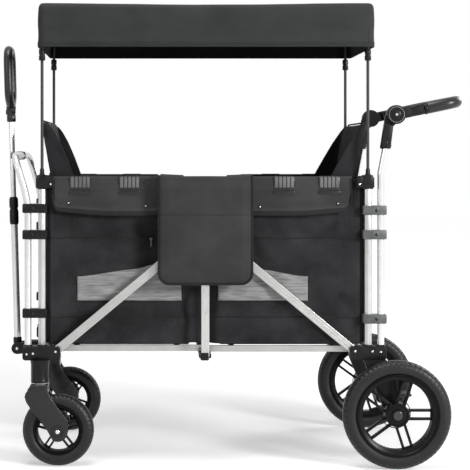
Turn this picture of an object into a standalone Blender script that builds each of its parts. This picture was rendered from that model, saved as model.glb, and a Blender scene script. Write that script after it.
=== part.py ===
"""Folding push-pull wagon with a canopy, in metres, +Z up. Front is -X, the left side is -Y."""

import math

import bmesh
import bpy
from mathutils import Matrix, Vector

# Frame
FRONT_POST_X = -0.4945
POST_SPACING = 0.856
POST_Y = 0.212
POST_RADIUS = 0.010
POST_TOP = 0.757
LEG_RADIUS = 0.009
BOW_LEG_OFFSET = 0.037
PUSH_LEG_OFFSET = 0.034
BRACKET_TOP = 0.310
BRACKET_HEIGHT = 0.036
BRACKET_INNER_Y = 0.199
SOCKET_DEPTH = 0.0150
CROSS_TUBE_RADIUS = 0.008
REAR_CLAMPS = (0.666, 0.602, 0.381)
FRONT_CLAMPS = (0.671, 0.602, 0.396)
CLAMP_HEIGHT = 0.024
CLAMP_DEPTH = 0.027
TOP_BRACKET_HEIGHT = 0.037
SIDES = ((-1, "left"), (1, "right"))

# Folding linkage
PIVOT_INSET = 0.037
PIVOT_Z = 0.297
HUB_RISE = 0.325
BAR_THICKNESS = 0.010
BAR_HEIGHT = 0.022
BAR_GAP = 0.0005
PIN_RADIUS = 0.003
CENTRE_BAR_WIDTH = 0.021
CENTRE_BEAM_DROP = 0.020

# Wheels and casters
REAR_RADIUS = 0.140
REAR_TYRE_WIDTH = 0.048
REAR_WHEEL_Y = 0.268
REAR_AXLE_SETBACK = 0.066
FRONT_RADIUS = 0.093
FRONT_TYRE_WIDTH = 0.042
CASTER_Y = 0.228
CASTER_TRAIL = 0.048
CASTER_HOUSING_RADIUS = 0.0235
CASTER_HOUSING_HEIGHT = 0.058
STEM_RADIUS = 0.007
STEM_LENGTH = 0.030
AXLE_RADIUS = 0.006
REAR_AXLE_RADIUS = 0.008
FORK_PLATE = 0.007
REAR_TYRE_DEPTH = 0.033
REAR_RIM_DEPTH = 0.016
REAR_HUB_RADIUS = 0.031
FRONT_TYRE_DEPTH = 0.029
FRONT_RIM_DEPTH = 0.011
FRONT_HUB_RADIUS = 0.017
CASTER_AXLE_RADIUS = 0.004
AXLE_CAP_RADIUS = 0.011
# The widths of the hub and of the tyre's bead, as shares of the tyre's width
HUB_SHARE = 0.9
BEAD_SHARE = 0.86
SPOKE_COUNT = 5
SPOKE_WIDTH = 0.0065
SPOKE_SPACING = 0.021
SPOKE_SCALE = {"rear": 1.0, "front": 0.62}
SPOKE_PHASE = {"rear": 0.0, "front": math.radians(20)}
BRAKE_COLLAR_RADIUS = 0.015
BRAKE_PEDAL_WIDTH = 0.060
BRAKE_PEDAL_REACH = 0.085

# Floor
FLOOR_REACH = 0.350
RAIL_HEIGHT = 0.0165
FLOOR_TUBE_RADIUS = 0.008
BOARD_THICKNESS = 0.006
SEAT_THICKNESS = 0.016
SEAT_START = 0.060

# Fabric tub
PANEL_THICKNESS = 0.003
RIM_Z = 0.748
TUB_BOTTOM_Z = 0.314
TUB_INSET = 0.0195
SEAT_BACK_SIDE_GAP = 0.022
SEAT_BACK_THICKNESS = 0.020
SEAT_BACK_BOTTOM = 0.560
SEAT_BACK_TOP = 0.915
SEAT_BACK_LEAN = 0.030
WING_DEPTH = 0.070
WING_BOTTOM = 0.700
POCKET_WIDTH = 0.246
POCKET_TOP = 0.759
POCKET_BOTTOM = 0.473
POCKET_DEPTH = 0.012

# Canopy
CANOPY_TOP = 1.211
CANOPY_DROP = 0.117
CANOPY_CORNER = 0.006
CANOPY_OVERHANG = 0.012
CANOPY_HALF_WIDTH = 0.228
POLE_RADIUS = 0.004
POLE_COLLAR_RADIUS = 0.0085
POLE_COLLAR_DROP = 0.035
POLE_COLLAR_HEIGHT = 0.031
FERRULE_RADIUS = 0.0062
FERRULE_HEIGHT = 0.016

# Pull handle
PULL_PIVOT_REACH = 0.085
PULL_PIVOT_Z = 0.275
PULL_PIN_RADIUS = 0.004
PULL_LEAN = math.radians(1.6)
LOWER_TUBE_RADIUS = 0.0095
UPPER_TUBE_RADIUS = 0.0075
LOWER_TUBE_LENGTH = 0.415
COLLAR_RADIUS = 0.0125
COLLAR_LENGTH = 0.072
UPPER_TUBE_EXPOSED = 0.229
UPPER_TUBE_HIDDEN = 0.340
GRIP_HEIGHT = 0.194
GRIP_WIDTH = 0.120
GRIP_BAR_RADIUS = 0.012
BOW_LEAN_Z = 0.690
BOW_TOP_REACH = 0.073
BOW_TOP_Z = 0.809
BOW_TUBE_RADIUS = 0.009
REST_WIDTH = 0.036
REST_HEIGHT = 0.024

# Push handle
LEG_BEND_Z = 0.763
HINGE_SETBACK = 0.040
HINGE_Z = 0.917
HINGE_RADIUS = 0.025
HINGE_DISC = 0.011
HINGE_GAP = 0.0005
LEG_TOP_REACH = 0.012
SLEEVE_LENGTH = 0.088
SLEEVE_START = 0.034
SLEEVE_RADIUS = 0.0125
ARM_RISE = math.radians(12)
ARM_LENGTH = 0.168
ARM_RADIUS = 0.009
GRIP_RADIUS = 0.0155
GRIP_START = 0.084
GRIP_CORNER = 0.036

# Fits
GAP = 0.0003
PIN_CLEARANCE = 0.0003
SLOT_CLEARANCE = 0.0005
RUNNING_CLEARANCE = 0.001

REAR_POST_X = FRONT_POST_X + POST_SPACING
HEM_Z = CANOPY_TOP - CANOPY_DROP
POLE_COLLAR_Z = HEM_Z - POLE_COLLAR_DROP
SEAT_BACK_WIDTH = 2 * (POST_Y - SEAT_BACK_SIDE_GAP)
FRONT_PIVOT_X = FRONT_POST_X + PIVOT_INSET
REAR_PIVOT_X = REAR_POST_X - PIVOT_INSET
HUB_X = (FRONT_PIVOT_X + REAR_PIVOT_X) / 2
HUB_Z = PIVOT_Z + HUB_RISE
BOW_LEG_X = FRONT_POST_X - BOW_LEG_OFFSET
PUSH_LEG_X = REAR_POST_X + PUSH_LEG_OFFSET
HINGE_X = PUSH_LEG_X + HINGE_SETBACK
BOW_TOP_X = FRONT_POST_X - BOW_TOP_REACH
PULL_PIVOT_X = FRONT_POST_X - PULL_PIVOT_REACH
BRACKET_BOTTOM = BRACKET_TOP - BRACKET_HEIGHT
CROSS_TUBE_Z = BRACKET_BOTTOM + CROSS_TUBE_RADIUS + 0.002
REAR_AXLE_X = REAR_POST_X + REAR_AXLE_SETBACK
SWIVEL_X = FRONT_POST_X - 0.004
CASTER_X = SWIVEL_X + CASTER_TRAIL
REAR_BAR_Y = POST_Y
FRONT_BAR_Y = REAR_BAR_Y + BAR_THICKNESS + BAR_GAP
CENTRE_BAR_Y = FRONT_BAR_Y + BAR_THICKNESS + BAR_GAP
FLOOR_PIVOT_Z = PIVOT_Z + 0.003
REAR_RAIL_Y = BRACKET_INNER_Y - 0.0015 - BAR_THICKNESS / 2
FRONT_RAIL_Y = REAR_RAIL_Y - BAR_THICKNESS - BAR_GAP
TUB_FRONT_X = FRONT_POST_X + TUB_INSET
TUB_REAR_X = REAR_POST_X - TUB_INSET
TUB_Y = REAR_BAR_Y - BAR_THICKNESS / 2 - 0.0008
FLOOR_HALF_SPAN = (REAR_PIVOT_X - FRONT_PIVOT_X) / 2

scene = bpy.context.scene
for old in list(bpy.data.objects):
    bpy.data.objects.remove(old, do_unlink=True)
wagon = bpy.data.collections.new("folding_wagon")
scene.collection.children.link(wagon)
cutters = bpy.data.collections.new("cutters")
scene.collection.children.link(cutters)


def linear(value):
    """An sRGB value made linear."""
    return value / 12.92 if value <= 0.04045 else ((value + 0.055) / 1.055) ** 2.4


def material(name, hex_colour, roughness, metallic=0.0):
    """A Principled material from an sRGB colour such as 2b2b2b."""
    made = bpy.data.materials.new(name)
    made.use_nodes = True
    shader = made.node_tree.nodes["Principled BSDF"]
    colour = [linear(int(hex_colour[i : i + 2], 16) / 255) for i in (0, 2, 4)]
    shader.inputs["Base Color"].default_value = (*colour, 1.0)
    shader.inputs["Roughness"].default_value = roughness
    shader.inputs["Metallic"].default_value = metallic
    return made


ALUMINIUM = material("anodised_aluminium", "c9cbcd", 0.32, 1.0)
BLACK_PLASTIC = material("black_plastic", "2b2b2c", 0.5)
TYRE = material("tyre_foam", "343435", 0.85)
RIM_PLASTIC = material("rim_plastic", "303031", 0.42)
STEEL = material("axle_steel", "8f9193", 0.35, 1.0)
DARK_ROD = material("dark_rod", "4a4c4e", 0.4, 0.6)
FABRIC = material("charcoal_fabric", "38383a", 0.95)
CANOPY_FABRIC = material("canopy_fabric", "404344", 0.95)
BOARD = material("floor_board", "3a3a3a", 0.8)
FOAM = material("grip_foam", "29292a", 0.9)


def empty(name, place, parent=None):
    """An empty on a joint's axis, which carries one moving body."""
    made = bpy.data.objects.new(name, None)
    wagon.objects.link(made)
    made.empty_display_size = 0.03
    if parent:
        made.parent = parent
        made.location = Vector(place) - world_place(parent)
    else:
        made.location = place
    return made


def world_place(obj):
    return obj.location + (world_place(obj.parent) if obj.parent else Vector())


def attach(obj, body):
    """Keeps the object where it is, carried by the empty of its body."""
    if body:
        obj.parent = body
        obj.matrix_parent_inverse = Matrix.Translation(-world_place(body))
    return obj


def new_object(name, mesh, surface):
    obj = bpy.data.objects.new(name, mesh)
    wagon.objects.link(obj)
    obj.data.materials.append(surface)
    return obj


def helper(obj):
    """Marks an object as a tool of a Boolean, which is no part of the wagon."""
    for collection in list(obj.users_collection):
        collection.objects.unlink(obj)
    cutters.objects.link(obj)
    obj.hide_render = True
    obj.display_type = "WIRE"
    return obj


def smooth(mesh, angle=35):
    mesh.shade_smooth()
    mesh.set_sharp_from_angle(angle=math.radians(angle))


def mesh_from(name, bm, surface):
    mesh = bpy.data.meshes.new(name)
    bm.to_mesh(mesh)
    bm.free()
    smooth(mesh)
    return new_object(name, mesh, surface)


def box(name, low, high, surface, bevel=0.0):
    """A box between two corners, with rounded edges if a bevel is given."""
    size = Vector(high) - Vector(low)
    bm = bmesh.new()
    bmesh.ops.create_cube(bm, size=1.0)
    bmesh.ops.scale(bm, vec=size, verts=bm.verts)
    bmesh.ops.translate(bm, vec=(Vector(low) + Vector(high)) / 2, verts=bm.verts)
    if bevel:
        bmesh.ops.bevel(
            bm, geom=bm.edges[:], offset=bevel, segments=1, affect="EDGES"
        )
    return mesh_from(name, bm, surface)


def cylinder(name, start, end, radius, surface, sides=12):
    """A cylinder between two points."""
    start, end = Vector(start), Vector(end)
    axis = end - start
    bm = bmesh.new()
    bmesh.ops.create_cone(
        bm,
        cap_ends=True,
        segments=sides,
        radius1=radius,
        radius2=radius,
        depth=axis.length,
    )
    turn = Vector((0, 0, 1)).rotation_difference(axis).to_matrix().to_4x4()
    bmesh.ops.transform(bm, matrix=Matrix.Translation((start + end) / 2) @ turn, verts=bm.verts)
    return mesh_from(name, bm, surface)


def drill(name, start, end, radius, surface, sides=12):
    """The cutter of a round hole: its flats, and not its corners, lie at the radius."""
    return cylinder(name, start, end, radius / math.cos(math.pi / sides), surface, sides)


def bend(points, radius, steps=4):
    """The route through the points with each corner rounded by an arc of about the radius."""
    points = [Vector(p) for p in points]
    route = [points[0]]
    for before, corner, after in zip(points, points[1:], points[2:]):
        back = (before - corner).normalized()
        ahead = (after - corner).normalized()
        half = back.angle(ahead) / 2
        reach = min(
            radius / math.tan(half),
            0.49 * (before - corner).length,
            0.49 * (after - corner).length,
        )
        start, end = corner + back * reach, corner + ahead * reach
        for i in range(steps + 1):
            t = i / steps
            route.append(start * (1 - t) ** 2 + corner * 2 * t * (1 - t) + end * t**2)
    route.append(points[-1])
    return route


def tube(name, route, radius, surface, resolution=2, loop=False):
    """A round tube with closed ends, or a closed loop, made a mesh so that it can be cut and joined."""
    curve = bpy.data.curves.new(name + "_route", "CURVE")
    curve.dimensions = "3D"
    curve.bevel_depth = radius
    curve.bevel_resolution = resolution
    curve.use_fill_caps = True
    spline = curve.splines.new("POLY")
    spline.points.add(len(route) - 1)
    for point, place in zip(spline.points, route):
        point.co = (*place, 1.0)
    spline.use_cyclic_u = loop
    guide = bpy.data.objects.new(name + "_guide", curve)
    wagon.objects.link(guide)
    return meshed(name, guide, surface)


def meshed(name, guide, surface):
    """The mesh of a curve object with its caps welded; the curve is removed."""
    graph = bpy.context.evaluated_depsgraph_get()
    mesh = bpy.data.meshes.new_from_object(guide.evaluated_get(graph))
    bpy.data.objects.remove(guide, do_unlink=True)
    mesh.name = name
    bm = bmesh.new()
    bm.from_mesh(mesh)
    bmesh.ops.remove_doubles(bm, verts=bm.verts, dist=0.00005)
    bmesh.ops.recalc_face_normals(bm, faces=bm.faces)
    bm.to_mesh(mesh)
    bm.free()
    mesh.materials.clear()
    smooth(mesh)
    return new_object(name, mesh, surface)


def plate(name, outline, y, thickness, surface):
    """A flat outline in X and Z, centred on y. The outline is a list of (x, z)."""
    curve = bpy.data.curves.new(name + "_outline", "CURVE")
    curve.dimensions = "2D"
    curve.fill_mode = "BOTH"
    curve.extrude = thickness / 2
    spline = curve.splines.new("POLY")
    spline.points.add(len(outline) - 1)
    for point, (x, z) in zip(spline.points, outline):
        point.co = (x, z, 0.0, 1.0)
    spline.use_cyclic_u = True
    guide = bpy.data.objects.new(name + "_guide", curve)
    wagon.objects.link(guide)
    made = meshed(name, guide, surface)
    made.data.transform(Matrix.Translation((0, y, 0)) @ Matrix.Rotation(math.pi / 2, 4, "X"))
    return made


def turned(name, profile, centre, axis, surface, steps=40):
    """A closed profile of (radius, height) turned about an axis through the centre."""
    mesh = bpy.data.meshes.new(name)
    bm = bmesh.new()
    ring = [bm.verts.new((r, 0.0, h)) for r, h in profile]
    for a, b in zip(ring, ring[1:] + ring[:1]):
        bm.edges.new((a, b))
    bmesh.ops.spin(
        bm,
        geom=bm.verts[:] + bm.edges[:],
        axis=(0, 0, 1),
        cent=(0, 0, 0),
        angle=2 * math.pi,
        steps=steps,
    )
    bmesh.ops.remove_doubles(bm, verts=bm.verts, dist=0.00001)
    bmesh.ops.recalc_face_normals(bm, faces=bm.faces)
    turn = Vector((0, 0, 1)).rotation_difference(Vector(axis)).to_matrix().to_4x4()
    bmesh.ops.transform(bm, matrix=Matrix.Translation(centre) @ turn, verts=bm.verts)
    bm.to_mesh(mesh)
    bm.free()
    smooth(mesh)
    return new_object(name, mesh, surface)


def combine(obj, operation, tools):
    """Joins the tools to the object, or cuts them from it."""
    for tool in tools:
        helper(tool)
        step = obj.modifiers.new(operation.lower(), "BOOLEAN")
        step.operation = operation
        step.solver = "EXACT"
        step.object = tool
    return obj


def join(obj, *tools):
    return combine(obj, "UNION", tools)


def cut(obj, *tools):
    return combine(obj, "DIFFERENCE", tools)


def arc(centre, radius, start, end, steps=8):
    """Points on an arc, with angles in degrees from +X towards +Z."""
    points = []
    for i in range(steps + 1):
        angle = math.radians(start + (end - start) * i / steps)
        points.append((centre[0] + radius * math.cos(angle), centre[1] + radius * math.sin(angle)))
    return points


def rounded(x0, x1, z0, z1, radius, steps=4):
    """A rectangle with round corners."""
    return (
        arc((x1 - radius, z1 - radius), radius, 0, 90, steps)
        + arc((x0 + radius, z1 - radius), radius, 90, 180, steps)
        + arc((x0 + radius, z0 + radius), radius, 180, 270, steps)
        + arc((x1 - radius, z0 + radius), radius, 270, 360, steps)
    )


def bar_outline(start, end, width, steps=4):
    """A straight bar with round ends between two pivots."""
    angle = math.degrees(math.atan2(end[1] - start[1], end[0] - start[0]))
    return arc(end, width / 2, angle - 90, angle + 90, steps) + arc(
        start, width / 2, angle + 90, angle + 270, steps
    )


def across(name, x, z, radius, y0, y1, surface, sides=12):
    """A cylinder along Y between two heights of Y."""
    low, high = min(y0, y1), max(y0, y1)
    return cylinder(name, (x, low, z), (x, high, z), radius, surface, sides)


def drill_across(name, x, z, radius, y0, y1, surface, sides=12):
    """The cutter of a round hole along Y between two heights of Y."""
    low, high = min(y0, y1), max(y0, y1)
    return drill(name, (x, low, z), (x, high, z), radius, surface, sides)


# The bodies of the wagon, each empty on its joint's axis
rear = empty("rear_frame", (REAR_POST_X, 0, 0))
push = empty("push_handle", (HINGE_X, 0, HINGE_Z), rear)
brake = empty("brake", (REAR_AXLE_X, 0, REAR_RADIUS), rear)
rear_bars = empty("rear_diagonals", (REAR_PIVOT_X, 0, PIVOT_Z), rear)
front_bars = empty("front_diagonals", (HUB_X, 0, HUB_Z), rear_bars)
middle = empty("centre_bars", (HUB_X, 0, HUB_Z), rear_bars)
front = empty("front_frame", (FRONT_PIVOT_X, 0, PIVOT_Z), front_bars)
rear_floor = empty("rear_floor", (REAR_PIVOT_X, 0, FLOOR_PIVOT_Z), rear)
front_floor = empty("front_floor", (FRONT_PIVOT_X, 0, FLOOR_PIVOT_Z), front)
pull = empty("pull_handle", (PULL_PIVOT_X, 0, PULL_PIVOT_Z), front)
pull_slide = empty("pull_slide", (PULL_PIVOT_X, 0, PULL_PIVOT_Z), pull)


def socket(x, y, radius, depth_from, depth_to):
    """The cutter of an upright socket for a tube."""
    return drill("socket", (x, y, depth_from), (x, y, depth_to), radius + GAP, BLACK_PLASTIC)


def clamps(post, side, x, other_x, other_radius, heights):
    """The plastic clamps that grip a post and go round the leg beside it."""
    y = side * POST_Y
    way = math.copysign(1, other_x - x)
    for height in heights:
        low, high = height - CLAMP_HEIGHT / 2, height + CLAMP_HEIGHT / 2
        end = other_x + way * (other_radius + 0.004)
        start = x - way * (POST_RADIUS + 0.0035)
        block = box(
            "clamp",
            (min(start, end), y - CLAMP_DEPTH / 2, low),
            (max(start, end), y + CLAMP_DEPTH / 2, high),
            BLACK_PLASTIC,
            0.003,
        )
        hole = drill(
            "clamp_hole",
            (other_x, y, low - 0.01),
            (other_x, y, high + 0.01),
            other_radius + GAP,
            BLACK_PLASTIC,
        )
        cut(block, hole)
        join(post, block)
    return post


def rear_bracket(side, name):
    """The lower corner: sockets for post and leg, a clevis for the bars and an arm to the axle."""
    y = side * (BRACKET_INNER_Y + 0.013)
    x0, x1 = REAR_PIVOT_X - 0.012, PUSH_LEG_X + LEG_RADIUS + 0.004
    block = plate(
        name, rounded(x0, x1, BRACKET_BOTTOM, BRACKET_TOP, 0.008), y, 0.026, BLACK_PLASTIC
    )
    boss = (REAR_AXLE_X, REAR_RADIUS)
    arm_outline = (
        [(REAR_POST_X - 0.016, BRACKET_BOTTOM + 0.008)]
        + arc(boss, 0.021, 200, 360, 8)
        + [(REAR_AXLE_X + 0.006, BRACKET_BOTTOM - 0.045)]
        + [(PUSH_LEG_X + 0.008, BRACKET_BOTTOM + 0.008)]
    )
    join(block, plate("axle_arm", arm_outline, side * (POST_Y + 0.003), 0.014, BLACK_PLASTIC))
    slot_low = REAR_BAR_Y - BAR_THICKNESS / 2 - SLOT_CLEARANCE
    slot_high = REAR_BAR_Y + BAR_THICKNESS / 2 + SLOT_CLEARANCE
    cut(
        block,
        box(
            "bar_slot",
            (x0 - 0.01, min(side * slot_low, side * slot_high), PIVOT_Z - 0.0125),
            (REAR_PIVOT_X + 0.0125, max(side * slot_low, side * slot_high), BRACKET_TOP + 0.01),
            BLACK_PLASTIC,
        ),
        socket(REAR_POST_X, side * POST_Y, POST_RADIUS, BRACKET_TOP - SOCKET_DEPTH - GAP, 0.34),
        socket(PUSH_LEG_X, side * POST_Y, LEG_RADIUS, BRACKET_TOP - SOCKET_DEPTH - GAP, 0.34),
        drill_across(
            "axle_hole",
            REAR_AXLE_X,
            REAR_RADIUS,
            REAR_AXLE_RADIUS + GAP,
            side * 0.19,
            side * 0.24,
            BLACK_PLASTIC,
        ),
        drill_across(
            "cross_tube_hole",
            REAR_POST_X,
            CROSS_TUBE_Z,
            CROSS_TUBE_RADIUS + GAP,
            side * 0.18,
            side * (BRACKET_INNER_Y + 0.010),
            BLACK_PLASTIC,
        ),
    )
    join(
        block,
        across(
            "bar_pin",
            REAR_PIVOT_X,
            PIVOT_Z,
            PIN_RADIUS,
            side * (slot_low - 0.001),
            side * (slot_high + 0.001),
            STEEL,
            12,
        ),
        across(
            "rail_pin",
            REAR_PIVOT_X,
            FLOOR_PIVOT_Z,
            PIN_RADIUS,
            side * (REAR_RAIL_Y - BAR_THICKNESS / 2 - 0.001),
            side * (BRACKET_INNER_Y + 0.001),
            STEEL,
            12,
        ),
    )
    return attach(block, rear)


def front_bracket(side, name):
    """The lower corner: sockets for post and bow leg, a clevis for the bars and the swivel housing."""
    inner, outer = BRACKET_INNER_Y, FRONT_BAR_Y + BAR_THICKNESS / 2 + 0.0065
    x0, x1 = BOW_LEG_X - LEG_RADIUS - 0.004, FRONT_PIVOT_X + 0.012
    block = plate(
        name,
        rounded(x0, x1, BRACKET_BOTTOM, BRACKET_TOP, 0.008),
        side * (inner + outer) / 2,
        outer - inner,
        BLACK_PLASTIC,
    )
    y = side * CASTER_Y
    bottom = BRACKET_BOTTOM - CASTER_HOUSING_HEIGHT
    join(
        block,
        cylinder(
            "housing",
            (SWIVEL_X, y, bottom),
            (SWIVEL_X, y, BRACKET_BOTTOM + 0.012),
            CASTER_HOUSING_RADIUS,
            BLACK_PLASTIC,
            16,
        ),
    )
    slot_low = FRONT_BAR_Y - BAR_THICKNESS / 2 - SLOT_CLEARANCE
    slot_high = FRONT_BAR_Y + BAR_THICKNESS / 2 + SLOT_CLEARANCE
    cut(
        block,
        box(
            "bar_slot",
            (FRONT_PIVOT_X - 0.0125, min(side * slot_low, side * slot_high), PIVOT_Z - 0.0125),
            (x1 + 0.01, max(side * slot_low, side * slot_high), BRACKET_TOP + 0.01),
            BLACK_PLASTIC,
        ),
        socket(FRONT_POST_X, side * POST_Y, POST_RADIUS, BRACKET_TOP - SOCKET_DEPTH - GAP, 0.34),
        socket(BOW_LEG_X, side * POST_Y, LEG_RADIUS, BRACKET_TOP - SOCKET_DEPTH - GAP, 0.34),
        drill(
            "stem_bore",
            (SWIVEL_X, y, bottom - 0.01),
            (SWIVEL_X, y, bottom + STEM_LENGTH + GAP),
            STEM_RADIUS + GAP,
            BLACK_PLASTIC,
        ),
        drill_across(
            "cross_tube_hole",
            FRONT_POST_X,
            CROSS_TUBE_Z,
            CROSS_TUBE_RADIUS + GAP,
            side * 0.18,
            side * (BRACKET_INNER_Y + 0.010),
            BLACK_PLASTIC,
        ),
    )
    join(
        block,
        across(
            "bar_pin",
            FRONT_PIVOT_X,
            PIVOT_Z,
            PIN_RADIUS,
            side * (slot_low - 0.001),
            side * (slot_high + 0.001),
            STEEL,
            12,
        ),
        across(
            "rail_pin",
            FRONT_PIVOT_X,
            FLOOR_PIVOT_Z,
            PIN_RADIUS,
            side * (FRONT_RAIL_Y - BAR_THICKNESS / 2 - 0.001),
            side * (BRACKET_INNER_Y + 0.001),
            STEEL,
            12,
        ),
    )
    return attach(block, front)


def top_bracket(name, side, post_x, way, body):
    """The upper corner cap: it goes round the post and holds the corner of the fabric."""
    edge = post_x + way * (TUB_INSET - PANEL_THICKNESS - 2 * GAP)
    outer = post_x - way * (POST_RADIUS + 0.003)
    y_low, y_high = POST_Y - POST_RADIUS - 0.003, POST_Y + POST_RADIUS + 0.003
    z0 = POST_TOP - TOP_BRACKET_HEIGHT + 0.001
    block = box(
        name,
        (min(edge, outer), min(side * y_low, side * y_high), z0),
        (max(edge, outer), max(side * y_low, side * y_high), POST_TOP + 0.001),
        BLACK_PLASTIC,
        0.002,
    )
    tongue_end = post_x + way * (TUB_INSET + 0.012)
    tongue_low = TUB_Y + GAP
    join(
        block,
        box(
            "tongue",
            (min(post_x, tongue_end), min(side * tongue_low, side * y_high), z0 + 0.004),
            (max(post_x, tongue_end), max(side * tongue_low, side * y_high), POST_TOP - 0.001),
            BLACK_PLASTIC,
            0.0015,
        ),
    )
    cut(
        block,
        drill(
            "post_hole",
            (post_x, side * POST_Y, z0 - 0.01),
            (post_x, side * POST_Y, POST_TOP + 0.01),
            POST_RADIUS + GAP,
            BLACK_PLASTIC,
        ),
    )
    return attach(block, body)


def post(name, side, x, other_x, heights, body):
    """A corner post with its clamps and the bore for the canopy's pole."""
    y = side * POST_Y
    made = cylinder(
        name, (x, y, BRACKET_TOP - SOCKET_DEPTH), (x, y, POST_TOP), POST_RADIUS, ALUMINIUM
    )
    clamps(made, side, x, other_x, LEG_RADIUS, heights)
    bore = drill(
        "pole_bore",
        (x, y, POST_TOP - 0.025),
        (x, y, POST_TOP + 0.01),
        POLE_RADIUS + GAP,
        ALUMINIUM,
        12,
    )
    cut(made, bore)
    return attach(made, body)


def frame_ends():
    """The posts, brackets and cross tubes of both ends."""
    for side, word in SIDES:
        post(f"rear_post_{word}", side, REAR_POST_X, PUSH_LEG_X, REAR_CLAMPS, rear)
        post(f"front_post_{word}", side, FRONT_POST_X, BOW_LEG_X, FRONT_CLAMPS, front)
        rear_bracket(side, f"rear_bracket_{word}")
        front_bracket(side, f"front_bracket_{word}")
        top_bracket(f"rear_top_bracket_{word}", side, REAR_POST_X, -1, rear)
        top_bracket(f"front_top_bracket_{word}", side, FRONT_POST_X, 1, front)
    reach = BRACKET_INNER_Y + 0.0095
    for name, x, body in (
        ("rear_cross_tube", REAR_POST_X, rear),
        ("front_cross_tube", FRONT_POST_X, front),
    ):
        made = across(name, x, CROSS_TUBE_Z, CROSS_TUBE_RADIUS, -reach, reach, ALUMINIUM)
        attach(made, body)


def front_bow():
    """The arch in front, from bracket to bracket, with the pad that the pull handle rests on."""
    y = POST_Y
    bottom = BRACKET_TOP - SOCKET_DEPTH
    lean = [(BOW_LEG_X, -y, BOW_LEAN_Z), (BOW_TOP_X, -y, BOW_TOP_Z)]
    route = [(BOW_LEG_X, -y, bottom), *lean]
    route += [(px, -py, pz) for px, py, pz in reversed(route)]
    made = tube("front_bow", bend(route, 0.045), BOW_TUBE_RADIUS, ALUMINIUM)
    rest_x = pull_line(BOW_TOP_Z) + UPPER_TUBE_RADIUS + RUNNING_CLEARANCE
    rest = box(
        "rest",
        (rest_x, -REST_WIDTH / 2, BOW_TOP_Z - REST_HEIGHT / 2),
        (BOW_TOP_X + BOW_TUBE_RADIUS, REST_WIDTH / 2, BOW_TOP_Z + REST_HEIGHT / 2),
        BLACK_PLASTIC,
        0.003,
    )
    join(made, rest)
    attach(made, front)


def pull_line(z):
    """X of the pull handle's centre line at a height."""
    return PULL_PIVOT_X - (z - PULL_PIVOT_Z) * math.tan(PULL_LEAN)


def push_legs():
    """The rear legs of the push handle, bent back at the top, with the fixed half of each hinge."""
    inner = POST_Y - HINGE_DISC - HINGE_GAP
    for side, word in SIDES:
        y = side * POST_Y
        hinge = Vector((HINGE_X, y, HINGE_Z))
        direction = Vector((LEG_TOP_REACH - HINGE_SETBACK, 0, -SLEEVE_LENGTH)).normalized()
        end = hinge + direction * (SLEEVE_LENGTH - 0.03)
        route = [
            (PUSH_LEG_X, y, BRACKET_TOP - SOCKET_DEPTH),
            (PUSH_LEG_X, y, LEG_BEND_Z),
            hinge + direction * SLEEVE_LENGTH,
            end,
        ]
        attach(tube(f"push_leg_{word}", bend(route, 0.05), LEG_RADIUS, ALUMINIUM), rear)
        sleeve = cylinder(
            f"hinge_base_{word}",
            hinge + direction * SLEEVE_LENGTH,
            hinge + direction * SLEEVE_START,
            SLEEVE_RADIUS,
            BLACK_PLASTIC,
        )
        disc = across(
            "base_disc",
            HINGE_X,
            HINGE_Z,
            HINGE_RADIUS,
            side * inner,
            side * (inner + HINGE_DISC),
            BLACK_PLASTIC,
        )
        disc_middle = Vector((HINGE_X, side * (inner + HINGE_DISC / 2), HINGE_Z))
        neck = cylinder(
            "base_neck",
            disc_middle + direction * 0.050,
            disc_middle + direction * 0.012,
            HINGE_DISC / 2 - 0.0004,
            BLACK_PLASTIC,
        )
        join(sleeve, disc, neck)
        hole = drill(
            "leg_hole",
            hinge + direction * (SLEEVE_LENGTH + 0.02),
            end - direction * GAP,
            LEG_RADIUS + GAP,
            BLACK_PLASTIC,
        )
        cut(sleeve, hole)
        attach(sleeve, rear)


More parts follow.
